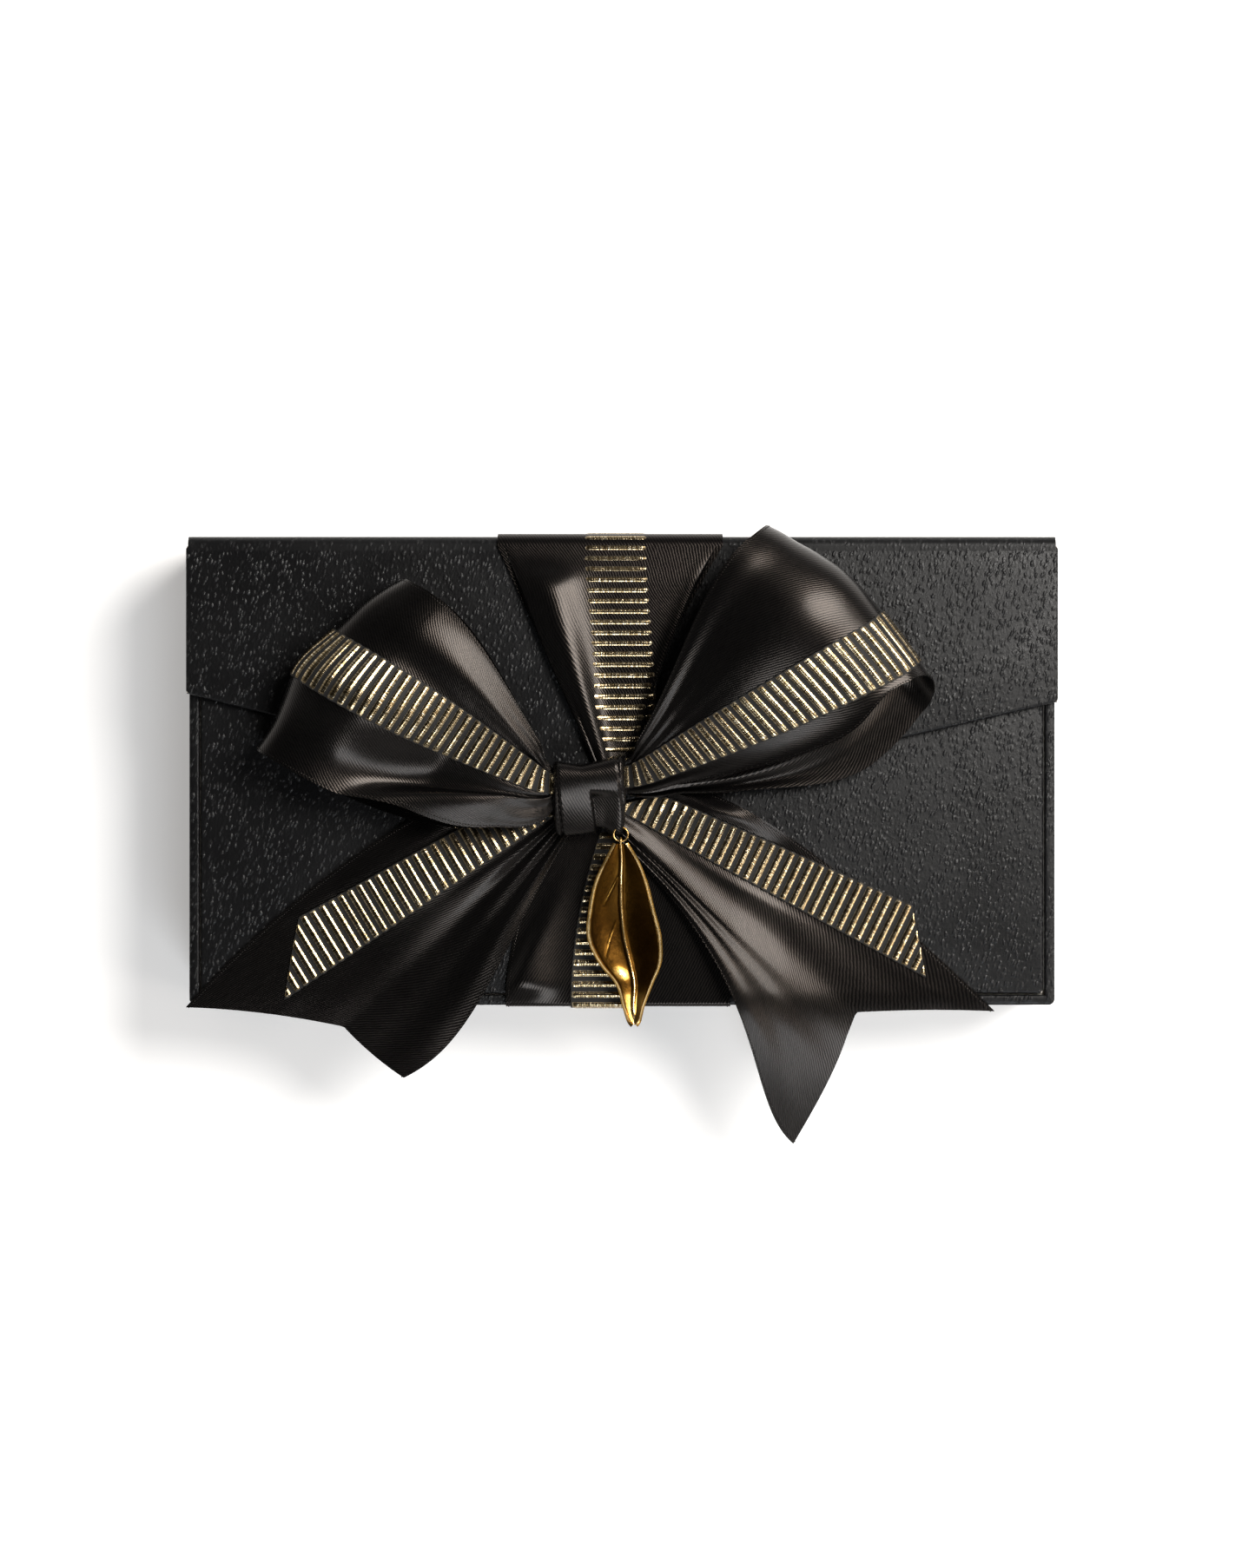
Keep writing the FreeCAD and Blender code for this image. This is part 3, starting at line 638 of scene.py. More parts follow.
def mix(tree, share, first, second):
    """The first colour where a share is 0 and the second where it is 1."""
    return node(tree, "ShaderNodeMix", {0: share, 6: first, 7: second}, data_type="RGBA").outputs[2]


def gold_finish():
    """Black grosgrain with raised ribs of gold thread, each rib a comb of fine parallel threads."""
    material, tree, shader = start_material("gold_grosgrain_ribs", {"Specular IOR Level": 0.2})
    cloth = node(tree, "ShaderNodeUVMap", uv_map="cloth").outputs["UV"]
    flat = node(tree, "ShaderNodeSeparateXYZ", {"Vector": cloth}).outputs
    turn = 2 * math.pi / (rib_pitch * MM)
    uneven = figure(tree, "MULTIPLY_ADD", noise(tree, cloth, 2600.0, 2.0), 0.5, -0.25)
    crest = figure(tree, "ADD", figure(tree, "COSINE", figure(tree, "MULTIPLY", flat["Y"], turn)), uneven)
    aside = figure(tree, "MULTIPLY_ADD", uneven, edge_wander * MM, figure(tree, "ABSOLUTE", flat["X"]))
    whole = spread_over(tree, aside, *((gold_width / 2 - edge) * MM for edge in bare_edge), 1.0, 0.0)
    on_rib = spread_over(tree, crest, *(rib_cover + fade for fade in rib_fade), 0.0, 1.0)
    is_gold = figure(tree, "MULTIPLY", on_rib, whole)
    strands = node(tree, "ShaderNodeMapping", {"Vector": cloth, "Scale": (1.0, 0.12, 1.0)}).outputs["Vector"]
    comb = noise(tree, strands, 3800.0, 2.0)
    gold = ramp(tree, comb, (0.3, (0.07, 0.048, 0.022)), (0.5, (0.24, 0.176, 0.092)), (0.7, (0.7, 0.61, 0.44)))
    set_inputs(tree, shader, {"Base Color": mix(tree, is_gold, (0.008, 0.0075, 0.007, 1), gold),
                              "Metallic": is_gold,
                              "Roughness": spread_over(tree, is_gold, 0.0, 1.0, 0.62, 0.22)})
    bump(tree, shader, comb, 0.00008, 0.6)
    return material


ribbing, given, end = new_tree("grosgrain_ribs", Pitch="Float", Height="Float", Material="Material")
turns_along = figure(ribbing, "DIVIDE", named(ribbing, "along", "FLOAT"), given["Pitch"])
crest = figure(ribbing, "COSINE", figure(ribbing, "MULTIPLY", turns_along, 2 * math.pi))
crest = figure(ribbing, "DIVIDE", figure(ribbing, "SUBTRACT", crest, rib_cover), 1 - rib_cover)
bulge = figure(ribbing, "SQRT", figure(ribbing, "MAXIMUM", crest, 0.0))
lift = figure(ribbing, "MULTIPLY", bulge, given["Height"])
lift = figure(ribbing, "MULTIPLY", lift, named(ribbing, "raised", "FLOAT"))
offset = node(ribbing, "ShaderNodeVectorMath", {0: node(ribbing, "GeometryNodeInputNormal").outputs["Normal"],
                                                "Scale": lift}, operation="SCALE")
ribbed = node(ribbing, "GeometryNodeSetPosition", {"Geometry": given["Geometry"],
                                                   "Offset": offset.outputs["Vector"]})
close_tree(ribbing, end, ribbed.outputs["Geometry"], given["Material"])


def gold_piece(name, face, along=None):
    """A gold ribbon whose flat ground is under a grid of points, with ribs raised on its face."""
    along = square_rows(face) if along is None else along
    piece = ribbon(name, face, gold_base, gold_width, gold, along)
    rows, columns = face.shape[:2]
    raised = np.zeros((2, rows, columns), np.float32)
    raised[0, 1:-1, 1:-1] = 1.0
    raised[0, 1:-1, [0, -1]] = rib_edge_height
    mark(piece, "raised", "FLOAT", raised)
    mark(piece, "along", "FLOAT", (np.tile(along.ravel(), 2) * MM).astype(np.float32))
    settle(piece, ribbing, {"Pitch": rib_pitch * MM, "Height": rib_height * MM, "Material": gold})
    return piece


gold = gold_finish()
gold_lift = satin_thick + lay + gold_base
gold_band = gold_piece("gold_tray_band", tray_band(tray_path(gold_lift, gold_step), gold_shares,
                                                   gold_front_x, gold_back_x, lower_gold_x,
                                                   gold_width, lower_gold_waist))
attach(gold_band, "tray")
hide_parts("gold_lower_run", "gold_front_run", "gold_under_run", "gold_back_run")


# Bands on the flap. Both ribbons turn over the hinge with the paper and run forward on the flap to the
# bow. The satin is drawn together by a deep pleat on each side, laid flat, and ends at the knot.
knot_low, knot_high = node_box("bow_knot")
knot_x, knot_y = (knot_low[:2] + knot_high[:2]) / 2
knot_bottom, knot_top = knot_low[2], knot_high[2]
fan_end_from_knot = 8.0
fan_end = knot_y + fan_end_from_knot
fan_turn_steps = 24
upper_satin_waist = 8.0
upper_gold_waist = 4.0
upper_end_x = -0.2
upper_narrowing = 1.35
upper_bow_left = 2.2
gold_drift, gold_return = 2.2, 0.9
gold_turn = 0.6
pleat_place = 0.95
pleat_limit = 0.6
pleat_rise = 0.15
pleat_closing = 0.3
swell_rise = 0.2
pleat_tuck = 0.05
pleat_round = satin_thick + pleat_tuck
pleat_open = 0.02
facet_columns, tuck_columns, home_columns, over_columns = 16, 5, 6, 9
pleat_level = 2 * (pleat_round + pleat_tuck)
upper_swells = [(0.68, 0.58, 0.28, 2.8, -0.4, 1.1), (-0.96, -0.96, 0.08, 0.5, 0.0, 1.2),
                (0.97, 0.97, 0.06, 0.5, 0.0, 1.2)]
upper_lips = [(1.0, 1.0, 0.1, 0.3, 0.0, 1.2), (-1.0, -1.0, 0.1, 0.3, 0.0, 1.2)]


def fold_heights(folds, share, t):
    """The height of soft folds along a ribbon. A fold is (place across at its start, place at its end,
    half-width, height, start, end)."""
    total = np.zeros(np.broadcast(share, t).shape)
    for first, last, width, height, start, end in folds:
        way = np.clip((share - start) / (end - start), 0, 1)
        total += height * np.sin(math.pi * way) * np.exp(-((t - between(first, last, way)) / width) ** 2)
    return total


def flap_path(lift, step):
    """The band's face from the side, as (y, z): over the hinge and forward on the flap."""
    turn = side_arc(flap_rear, rim, flap_thick + lift, 0, 90, fan_turn_steps)
    end = (fan_end, flap_top + lift)
    return np.concatenate((turn, side_line(turn[-1], end, step), np.array([end])))


def fan_shape(y):
    """Rows of the fan from the hinge to the knot: share of the way, middle, half-width."""
    share = np.clip((flap_rear - y) / (flap_rear - knot_y), 0, 1)[:, None]
    half = between(satin_width, upper_satin_waist, 1 - (1 - share) ** upper_narrowing) / 2
    middle = between(satin_back_x, upper_end_x, share) - upper_bow_left * np.sin(math.pi * share)
    return share, middle, half


def pleated_half(share, half):
    """Half a row of the fan, from its edge to its middle: places across, and heights over the ground. The
    cloth goes in under the pleat, comes back and turns over onto the top."""
    depth = np.minimum((satin_width - 2 * half) / 4, pleat_limit * half)
    fold = pleat_place * half
    inmost = depth - fold
    facet = np.concatenate(([0.0], np.linspace(2 * selvedge_inset, 1, facet_columns)))
    tuck = np.radians(np.linspace(-90, 90, tuck_columns)[1:-1])
    home = np.linspace(0, 1, home_columns)
    over = np.radians(np.linspace(-90, -270, over_columns)[1:-1])
    top = np.linspace(0, 1, facet_columns)
    places = np.concatenate((between(-half, inmost, facet), inmost + pleat_tuck * np.cos(tuck),
                             between(inmost, -fold, home), -fold + pleat_round * np.cos(over),
                             between(-fold, 0, top)), axis=1)
    heights = np.concatenate((0 * facet, pleat_tuck * (1 + np.sin(tuck)), 0 * home + 2 * pleat_tuck,
                              2 * pleat_tuck + pleat_round * (1 + np.sin(over)), 0 * top + pleat_level))
    count = len(heights)
    open_shares = np.interp(np.arange(count), (0, len(facet) - 1, count - len(top), count - 1),
                            (-1, -pleat_place - pleat_open, pleat_open - pleat_place, 0))
    closed = smooth((share - pleat_rise / 2) / pleat_closing)
    return between(half * open_shares, places, closed), heights * smooth(share / pleat_rise)


def satin_fan_face():
    y, z = flap_path(satin_thick, band_step).T
    share, middle, half = fan_shape(y)
    places, heights = pleated_half(share, half)
    places = np.concatenate((places, -places[:, -2::-1]), axis=1)
    heights = np.concatenate((heights, heights[:, -2::-1]), axis=1)
    t = -places / half
    upper = heights / pleat_level
    swells = between(fold_heights(upper_lips, share, t), fold_heights(upper_swells, share, t), upper)
    heights = heights + smooth(share / swell_rise) * swells
    return band_face(middle + places, y, z[:, None] + heights)


def gold_fan_face():
    y, z = flap_path(gold_lift, gold_step).T
    share, middle, half = fan_shape(y)
    near_knot = smooth((share - gold_turn) / (1 - gold_turn))
    gold_half = between(gold_width, upper_gold_waist, near_knot) / 2
    drift = gold_drift * smooth(share / gold_turn) - gold_return * near_knot
    x = gold_back_x + drift - gold_half * gold_shares
    swells = smooth(share / swell_rise) * fold_heights(upper_swells, share, (middle - x) / half)
    heights = smooth(share / pleat_rise) * pleat_level + swells
    return band_face(x, y, z[:, None] + heights)


satin_fan = satin_piece("satin_flap_band", satin_fan_face())
gold_fan = gold_piece("gold_flap_band", gold_fan_face())
for piece, width, ground, nodes in (
        (satin_fan, satin_width, "flap_wrap_paper", ("satin_spine_turn", "satin_upper_run")),
        (gold_fan, gold_width, "satin_flap_band", ("gold_spine_turn", "gold_upper_run"))):
    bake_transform(piece)
    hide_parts(*nodes)


# Tails. The two ends of the tied ribbons leave under the knot, fall onto the lower panel and hang over
# the front edge. The satin ends are cut to swallow tails, and the gold ends on a slant.
tail_root_width = 7.0
tail_gold_root = 7.0
tail_gold_opening = 0.8
tail_gold_columns = 49
tail_drop = 22.0
tail_bend = 9.0
tail_bend_start = 4.0
tail_settle = 15.0
tail_gap = 0.4
tail_tuck = 0.6
tail_steps = 110
tail_gather = 0.9
tail_gathers = 5
tail_gather_reach = 0.26
tail_gather_gap, tail_gather_fade = 0.5, 2.0
run_stack = satin_thick + lay + gold_thick
tail_lift = satin_thick + 3 * lay
left_tail = dict(root_x=-4.3, root_y=-3.0, heading=220.5, length=92.9, end_axis=162.0, tip_span=58.2,
                 spread_plus=0.5, spread_minus=1.15, notch_depth=8.3, notch_shift=-5.6, slope=0.1,
                 gold_root_y=2.3, gold_heading=211.6, gold_length=84.0, gold_end_axis=80.0,
                 gold_end_width=16.0,
                 folds=[(207.0, 14.0, 2.4, 4.0, 64.0), (240.0, 6.0, 0.8, 4.0, 110.0)])
right_tail = dict(root_x=4.7, root_y=-5.0, heading=-42.9, length=99.4, end_axis=-145.7, tip_span=61.4,
                  spread_plus=2.6, spread_minus=0.42, notch_depth=19.2, notch_shift=-5.9, slope=0.29,
                  gold_root_y=1.5, gold_heading=-26.2, gold_length=88.0, gold_end_axis=-79.0,
                  gold_end_width=15.0,
                  folds=[(0.0, 7.0, 2.2, 8.0, 80.0), (-55.0, 16.0, 3.4, 20.0, 98.0)])


def plan_way(degrees):
    turn = np.radians(degrees)
    return np.stack((np.cos(turn), np.sin(turn)), axis=-1)


def opening(neck, whole, share, power):
    """A half-width that opens from the neck to the whole ribbon."""
    return between(neck / 2, whole / 2, np.sin(math.pi / 2 * share ** power))


def tail_height(tail, plan):
    """The height of a tail's underside over a point of the plan, with folds that fan out from the knot."""
    root = np.array((knot_x + tail["root_x"], knot_y + tail["root_y"]))
    offset = plan - root
    along = offset @ plan_way(tail["heading"])
    reach = np.linalg.norm(offset, axis=-1)
    beside = np.abs(plan[..., 0] - satin_front_x) - satin_width / 2
    bed = rim + tail_gap + run_stack * (1 - smooth(beside / tail_settle))
    under_knot = knot_bottom - lay - gold_thick - tail_lift
    level = between(under_knot, bed, smooth(along / tail_drop))
    turn = np.degrees(np.arctan2(offset[..., 1], offset[..., 0])) - tail["heading"]
    for angle, width, height, start, end in tail["folds"]:
        aside = (turn - (angle - tail["heading"]) + 180) % 360 - 180
        rise = np.sin(math.pi * np.clip((reach - start) / (end - start), 0, 1))
        level = level + height * rise * np.exp(-(aside / width) ** 2)
    past = np.maximum(0.0, front + tail_bend_start - plan[..., 1])
    return level - tail["slope"] * (np.hypot(past, tail_bend) - tail_bend)


def tail_face(tail, root_y, heading, length, end_axis, shares, ends, edges, lift, gather):
    """A tail's face. ends gives how far out each column reaches, and edges its half-widths on the way."""
    root = np.array((knot_x + tail["root_x"], knot_y + root_y))
    share = np.linspace(0, 1, tail_steps + 1)[:, None] * ends
    across = plan_way(between(heading - 90, end_axis, share ** 2))
    plus, minus = edges(share)
    a = np.where(shares > 0, plus, minus) * shares
    plan = root + plan_way(heading) * (length * share)[..., None] + across * a[..., None]
    flap_edge = lower_end + np.where(plan[..., 0] < 0, -left_slope, right_slope) * plan[..., 0]
    plan[..., 1] = flap_edge - tail_tuck * np.logaddexp(0, (flap_edge - plan[..., 1]) / tail_tuck)
    gold_root = np.array((root[0], knot_y + tail["gold_root_y"]))
    off_gold = np.abs((plan - gold_root) @ plan_way(tail["gold_heading"] + 90))
    gathers = gather * np.exp(-share / tail_gather_reach) * (1 + np.cos(tail_gathers * math.pi * shares))
    gold_half = between(tail_gold_root, gold_width, share ** tail_gold_opening) / 2
    gathers = gathers * smooth((off_gold - gold_half - tail_gather_gap) / tail_gather_fade)
    return np.concatenate((plan, (tail_height(tail, plan) + gathers + lift)[..., None]), axis=2)


def swallow_ends(tail, shares):
    """How far out each column of a satin tail is cut, as a share of its length."""
    a = shares * tail["tip_span"] / 2
    reach = tail["tip_span"] / 2 - np.sign(a - tail["notch_shift"]) * tail["notch_shift"]
    depth = tail["notch_depth"] * (1 - np.abs(a - tail["notch_shift"]) / reach)
    square = abs(math.sin(math.radians(tail["end_axis"] - tail["heading"])))
    return 1 - depth / (square * tail["length"])


def tail_pieces(name, tail):
    def satin_edges(share):
        return [opening(tail_root_width, tail["tip_span"], share, tail[key])
                for key in ("spread_plus", "spread_minus")]

    def gold_edges(share):
        return [between(tail_gold_root, tail["gold_end_width"], share ** tail_gold_opening) / 2] * 2

    shares = satin_shares()
    satin_tail = satin_piece(f"satin_{name}_ribbon", tail_face(
        tail, tail["root_y"], tail["heading"], tail["length"], tail["end_axis"], shares,
        swallow_ends(tail, shares), satin_edges, satin_thick, tail_gather))
    rows = int(tail["gold_length"] / gold_step)
    slant = 1 / math.tan(math.radians(tail["gold_end_axis"] - tail["gold_heading"]))
    places = np.linspace(-1, 1, tail_gold_columns)
    cut_ends = 1 - slant * places * tail["gold_end_width"] / (2 * tail["gold_length"])
    gold_rows = tail_face(tail, tail["gold_root_y"], tail["gold_heading"], tail["gold_length"],
                          tail["gold_heading"] - 90, places, cut_ends, gold_edges, tail_lift + gold_base, 0.0)
    stops = np.linspace(0, tail_steps, rows)
    dense = np.stack([[np.interp(stops, np.arange(tail_steps + 1), gold_rows[:, j, k]) for k in range(3)]
                      for j in range(len(places))]).transpose(2, 0, 1)
    gold_tail = gold_piece(f"gold_{name}_ribbon", dense, run_lengths(dense)[:, None] * cut_ends)
    for piece, node_name in ((satin_tail, f"satin_{name}"), (gold_tail, f"gold_{name}")):
        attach(piece, "flap")
        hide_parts(node_name)


tail_pieces("left_tail", left_tail)
tail_pieces("right_tail", right_tail)


# Loops. Each loop of the bow is one length of both ribbons that leaves the knot gathered, opens to its
# whole width, folds over and comes back below. The gold ribbon is on the outside of the satin.
neck_width = 8.0
neck_gold_width = 5.0
neck_depth = 5.0
neck_turn = 2.5
neck_opening = 0.15
knot_wall = 1.3
knot_round = 2.2
lobe_lean = 1.5
gather_above = 0.9
gather_below = 2.4
reach_above = 0.22
reach_below = 0.7
gather_pleats = 7
gather_start = 0.05
dish_out, dish_long = 0.54, 0.27
dish_aside, dish_wide = -0.6, 0.42
bite_out, bite_long = 0.93, 0.14
mouth_start, mouth_long = 0.35, 0.4
bulge_start = 0.55
satin_row_step = 1.1
out_steps, fold_steps, neck_steps = 240, 80, 20
left_loop = dict(side=-1, root_y=1.4, heading=150.9, length=64.0, fold_axis=49.0, fold_radius=5.5,
                 crown=1.6, spread_plus=1.1, spread_minus=0.57, lean=0.0, gold_shift=0.0,
                 rise=1.15, peak=0.8, fall=2.2, bulge=3.6, bulge_skew=0.8, bite=0.0, mouth=0.0,
                 folds=[(0.6, 0.66, 0.22, 1.9, -0.1, 1.1), (-0.2, -0.2, 0.4, 5.0, 0.45, 1.3)],
                 lobes=[(-0.55, -1.05, 0.17, 3.0, -0.05, 0.72)], under_folds=[], dish=5.0)
right_loop = dict(side=1, root_y=3.0, heading=38.6, length=71.9, fold_axis=-42.5, fold_radius=8.0,
                  crown=1.2, spread_plus=1.08, spread_minus=1.4, lean=6.0, gold_shift=15.0,
                  rise=1.7, peak=0.84, fall=2.4, bulge=2.8, bulge_skew=0.0, bite=4.6, mouth=5.0,
                  folds=[(-0.2, -0.2, 0.5, 3.4, 0.3, 1.4), (-0.95, -0.85, 0.12, 0.7, 0.0, 1.1),
                         (0.9, 0.9, 0.2, -1.4, 0.1, 1.1)],
                  lobes=[], under_folds=[(0.6, 0.7, 0.12, -1.6, 0.2, 1.1)], dish=0.0)


def loop_path(loop, step):
    """The loop from its side, evenly spaced: share of the way out, along, up, and 0 above to 1 below."""
    double = lay + gold_thick + lay + satin_thick
    bed = flap_top + double
    low_root = knot_bottom + knot_wall + double
    high_root = knot_top - knot_wall - knot_round / 2 - double
    summit = bed + 2 * loop["fold_radius"] + loop["crown"]
    falling = 1 - loop["peak"]
    top = math.pi / 2 - math.atan(2 * loop["fall"] / (falling * loop["length"]))
    radius = (summit - loop["fall"] - bed) / (1 + math.sin(top))
    straight = loop["length"] - radius * (1 - math.cos(top))
    middle = straight - radius * math.cos(top)
    out = np.linspace(0, 1, out_steps)
    climb = 1 - (1 - np.minimum(1, out / loop["peak"])) ** loop["rise"]
    arch = between(high_root, summit, climb) - loop["fall"] * np.maximum(0, (out - loop["peak"]) / falling) ** 2
    turn = np.linspace(top, -math.pi / 2, fold_steps)
    home = out[::-1]
    floor = between(bed, low_root, (1 - home) ** 2)
    neck = np.linspace(-neck_depth, 0, neck_steps)
    columns = [np.concatenate(parts) for parts in (
        (neck * 0, out, turn * 0 + 1, home, neck * 0),
        (neck, straight * out, middle + radius * np.cos(turn), middle * home, neck[::-1]),
        (neck * 0 + high_root, arch, bed + radius + radius * np.sin(turn), floor, neck * 0 + low_root),
        (neck * 0, out * 0, smooth((top - turn) / (top + math.pi / 2)), out * 0 + 1, neck * 0 + 1))]
    travelled = np.concatenate(([0.0], np.cumsum(np.hypot(np.diff(columns[1]), np.diff(columns[2])))))
    stops = np.linspace(0, travelled[-1], int(travelled[-1] / step) + 1)
    return [np.interp(stops, travelled, column)[:, None] for column in columns]


def loop_face(loop, step, shares, is_gold):
    """The face of a loop's satin, all of it or only the strip of it that the gold ribbon lies on."""
    share, along, up, below = loop_path(loop, step)
    side = loop["side"]
    heading = plan_way(loop["heading"])
    root = np.array((knot_x + side * (knot_high[0] - knot_x), knot_y + loop["root_y"]))
    past_neck = neck_turn * np.logaddexp(0, along / neck_turn)
    neck_angle = -90.0 * side
    angle = between(neck_angle, loop["heading"] - 90, smooth(share / neck_opening))
    across = plan_way(between(angle, loop["fold_axis"], share ** 2))[:, 0]
    plan = root + heading * past_neck + np.array((side, 0)) * (along - past_neck)
    plan = plan + across * loop["lean"] * np.sin(math.pi * share) * below
    centre = np.concatenate((plan, up), axis=1)
    across = np.concatenate((across, np.zeros_like(up)), axis=1)
    normal = np.cross(across, np.gradient(centre, axis=0))
    normal /= np.linalg.norm(normal, axis=1, keepdims=True)
    plus = opening(neck_width, satin_width, share, loop["spread_plus"])
    minus = opening(neck_width, satin_width, share, loop["spread_minus"])
    if is_gold:
        a = loop["gold_shift"] * share + opening(neck_gold_width, gold_width, share, 1) * shares
    else:
        a = np.where(shares > 0, plus, minus) * shares
    t = np.where(a > 0, a / plus, a / minus)
    dished = loop["dish"] * np.exp(-((share - dish_out) / dish_long) ** 2 - ((t - dish_aside) / dish_wide) ** 2)
    above = fold_heights(loop["folds"], share, t) - dished
    height = between(above, fold_heights(loop["under_folds"], share, t), below)
    if not is_gold:
        lobe = fold_heights(loop["lobes"], share, t) * (1 - below)
        depth = between(gather_above, gather_below, below)
        depth = depth * np.exp(-share / between(reach_above, reach_below, below)) * smooth(share / gather_start)
        height = height + lobe - depth * (1 - np.cos(gather_pleats * math.pi * t)) / 2
        bite = -loop["bite"] * np.exp(-((share - bite_out) / bite_long) ** 2)
        open_edge = between(bite, loop["mouth"] * smooth((share - mouth_start) / mouth_long), below)
        a = a + lobe_lean * lobe + open_edge * np.clip(2 * t - 1, 0, 1) ** 2
    bulge = loop["bulge"] * (1 - t * t) * (1 + loop["bulge_skew"] * t)
    bulge = bulge * smooth((share - bulge_start) / (1 - bulge_start))
    height = (height + satin_thick)[..., None]
    face = centre[:, None] + across[:, None] * a[..., None] + normal[:, None] * height
    return face + np.append(heading, 0) * bulge[..., None]


def loop_pieces(name, loop):
    face = loop_face(loop, satin_row_step, satin_shares(), False)
    satin_loop = satin_piece(f"satin_{name}_ribbon", face)
    ground = loop_face(loop, gold_step, gold_shares, True)
    gold_loop = gold_piece(f"gold_{name}_ribbon", ground + (lay + gold_base) * grid_normals(ground))
    for piece, width, grid, node_name in ((satin_loop, satin_width, face, f"satin_{name}"),
                                          (gold_loop, gold_width, ground, f"gold_{name}")):
        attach(piece, "flap")
        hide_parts(node_name)


loop_pieces("left_loop", left_loop)
loop_pieces("right_loop", right_loop)


# Knot. The satin is wound round the necks of the loops and drawn tight. Its outer turn slopes down to the
# front and is folded over the turn below, which shows at the right. The edges are tucked in at both sides.
knot_turns = 200
knot_columns = 91
knot_lip = 1.8
knot_lip_depth = 0.75
knot_slant = 0.12
tunnel_columns = 9
tunnel_lip = 0.4
tunnel_sides = 2.4
tunnel_half = (5.4, 2.15)
tunnel_y = knot_y + (left_loop["root_y"] + right_loop["root_y"]) / 2
tunnel_z = knot_bottom + knot_wall + tunnel_half[1]
crease_fade = 0.7
knot_creases = [(-7.9, 0.35, -0.7), (8.1, 0.4, -0.5)]
knot_tilt = 0.09
knot_lean = 0.34
overlap_from, overlap_to = 0.2, 8.4
overlap_edge = 0.35
overlap_depth = 1.7
overlap_start, overlap_run = 1.4, 3.2
knot_backs = [(-9.1, 2.4), (-2.0, 3.0), (3.0, 1.4), (9.1, -0.9)]
knot_fronts = [(4.0, 0.0), (7.0, 1.4), (9.1, 1.4)]
turn = np.linspace(0, 2 * math.pi, knot_turns, endpoint=False)
half_knot = knot_high[0] - knot_x
half_depth, half_height = (knot_high[1] - knot_low[1]) / 2, (knot_top - knot_bottom) / 2
oval = np.column_stack((np.cos(turn), np.sin(turn)))
outer_y, outer_z = half_depth * oval[:, 0], half_height * oval[:, 1]
inner = np.array((tunnel_y, tunnel_z)) + tunnel_half * np.sign(oval) * np.abs(oval) ** (2 / tunnel_sides)
outward = np.column_stack((outer_y, outer_z)) / np.hypot(outer_y, outer_z)[:, None]
outer = np.column_stack((outer_y + knot_y, outer_z + (knot_top + knot_bottom) / 2))
outer[:, 1] += knot_lean * outer_y * (1 + outer_z / half_height) / 2
overlap = overlap_depth * smooth((overlap_start - outer_y) / overlap_run) * smooth(outer_z / half_height + 1)
on_top = smooth(np.sin(turn) + crease_fade)
rows = []
for u in np.linspace(-half_knot, half_knot, knot_columns):
    from_edge = min(1.0, (half_knot - abs(u)) / knot_lip)
    draw_in = (1 - math.sqrt(1 - (1 - from_edge) ** 2)) * knot_lip_depth
    slant = u + knot_slant * outer_y
    swell = sum(depth * np.exp(-((slant - at) / width) ** 2) for at, width, depth in knot_creases) * on_top
    swell = swell - knot_tilt * u * on_top
    under = np.clip((slant - overlap_from) / overlap_edge, 0, 1)
    under = under * np.clip((overlap_to - slant) / (overlap_to - overlap_from), 0, 1)
    drawn = np.where(outer_y > 0, np.interp(u, *zip(*knot_backs)), np.interp(u, *zip(*knot_fronts)))
    ring = outer + outward * (swell - overlap * under)[:, None]
    ring[:, 0] -= drawn * (outer_y / half_depth) ** 2
    rows.append(np.column_stack((np.full(knot_turns, knot_x + u), between(ring, inner, draw_in))))
for u in np.linspace(half_knot - tunnel_lip, -half_knot + tunnel_lip, tunnel_columns):
    rows.append(np.column_stack((np.full(knot_turns, knot_x + u), inner)))
knot = make_piece("bow_knot_satin", rows, grid_faces(len(rows), knot_turns, True, True), satin, sharp=60)
map_cloth(knot, [(point[0], reach) for row in rows for point, reach in zip(row, turn * half_depth)])
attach(knot, "flap")
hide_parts("bow_knot")


# Charm ring. A small ring of antique brass wire is sewn into the knot's front, and the leaf's eyelet
# hangs on it.
ring_steps = 48
wire_steps = 14
ring_wire = 0.25
wire_rub = 0.75


def antique_brass():
    """Cast brass with a brown patina in the hollows, and bright where it is rubbed: edges and midrib. The same
    value also lays a painted highlight spot into the leaf's colour.
    """
    material, tree, shader = start_material("antique_brass", {"Metallic": 1.0,
                                                              "Specular Tint": (1, 0.82, 0.52, 1)})
    place = object_place(tree)
    rubbed = node(tree, "ShaderNodeAttribute", attribute_name="rubbed").outputs["Fac"]
    cloudy = noise(tree, place, 260.0, 5.0)
    worn = figure(tree, "ADD", rubbed, figure(tree, "MULTIPLY_ADD", cloudy, 0.36, -0.18))
    tone = ramp(tree, worn, (0.0, (0.01, 0.004, 0.001)), (0.35, (0.06, 0.027, 0.004)),
                (0.7, (0.38, 0.215, 0.05)), (1.0, (0.92, 0.7, 0.36)))
    set_inputs(tree, shader, {"Base Color": tone,
                              "Roughness": spread_over(tree, worn, 0.0, 1.0, 0.42, 0.24)})
    bump(tree, shader, noise(tree, place, 700.0, 4.0), 0.00025, 0.5)
    return material


def wire_ring(centre, radius, wire, lies_flat):
    """The points of a ring of wire, lying flat or standing across X."""
    round_ring, round_wire = np.meshgrid(*(np.linspace(0, 2 * math.pi, steps, endpoint=False)
                                           for steps in (ring_steps, wire_steps)), indexing="ij")
    out = radius + wire * np.cos(round_wire)
    a, b, c = out * np.cos(round_ring), out * np.sin(round_ring), wire * np.sin(round_wire)
    return np.array(centre) + np.stack((a, b, c) if lies_flat else (c, a, b), axis=2)


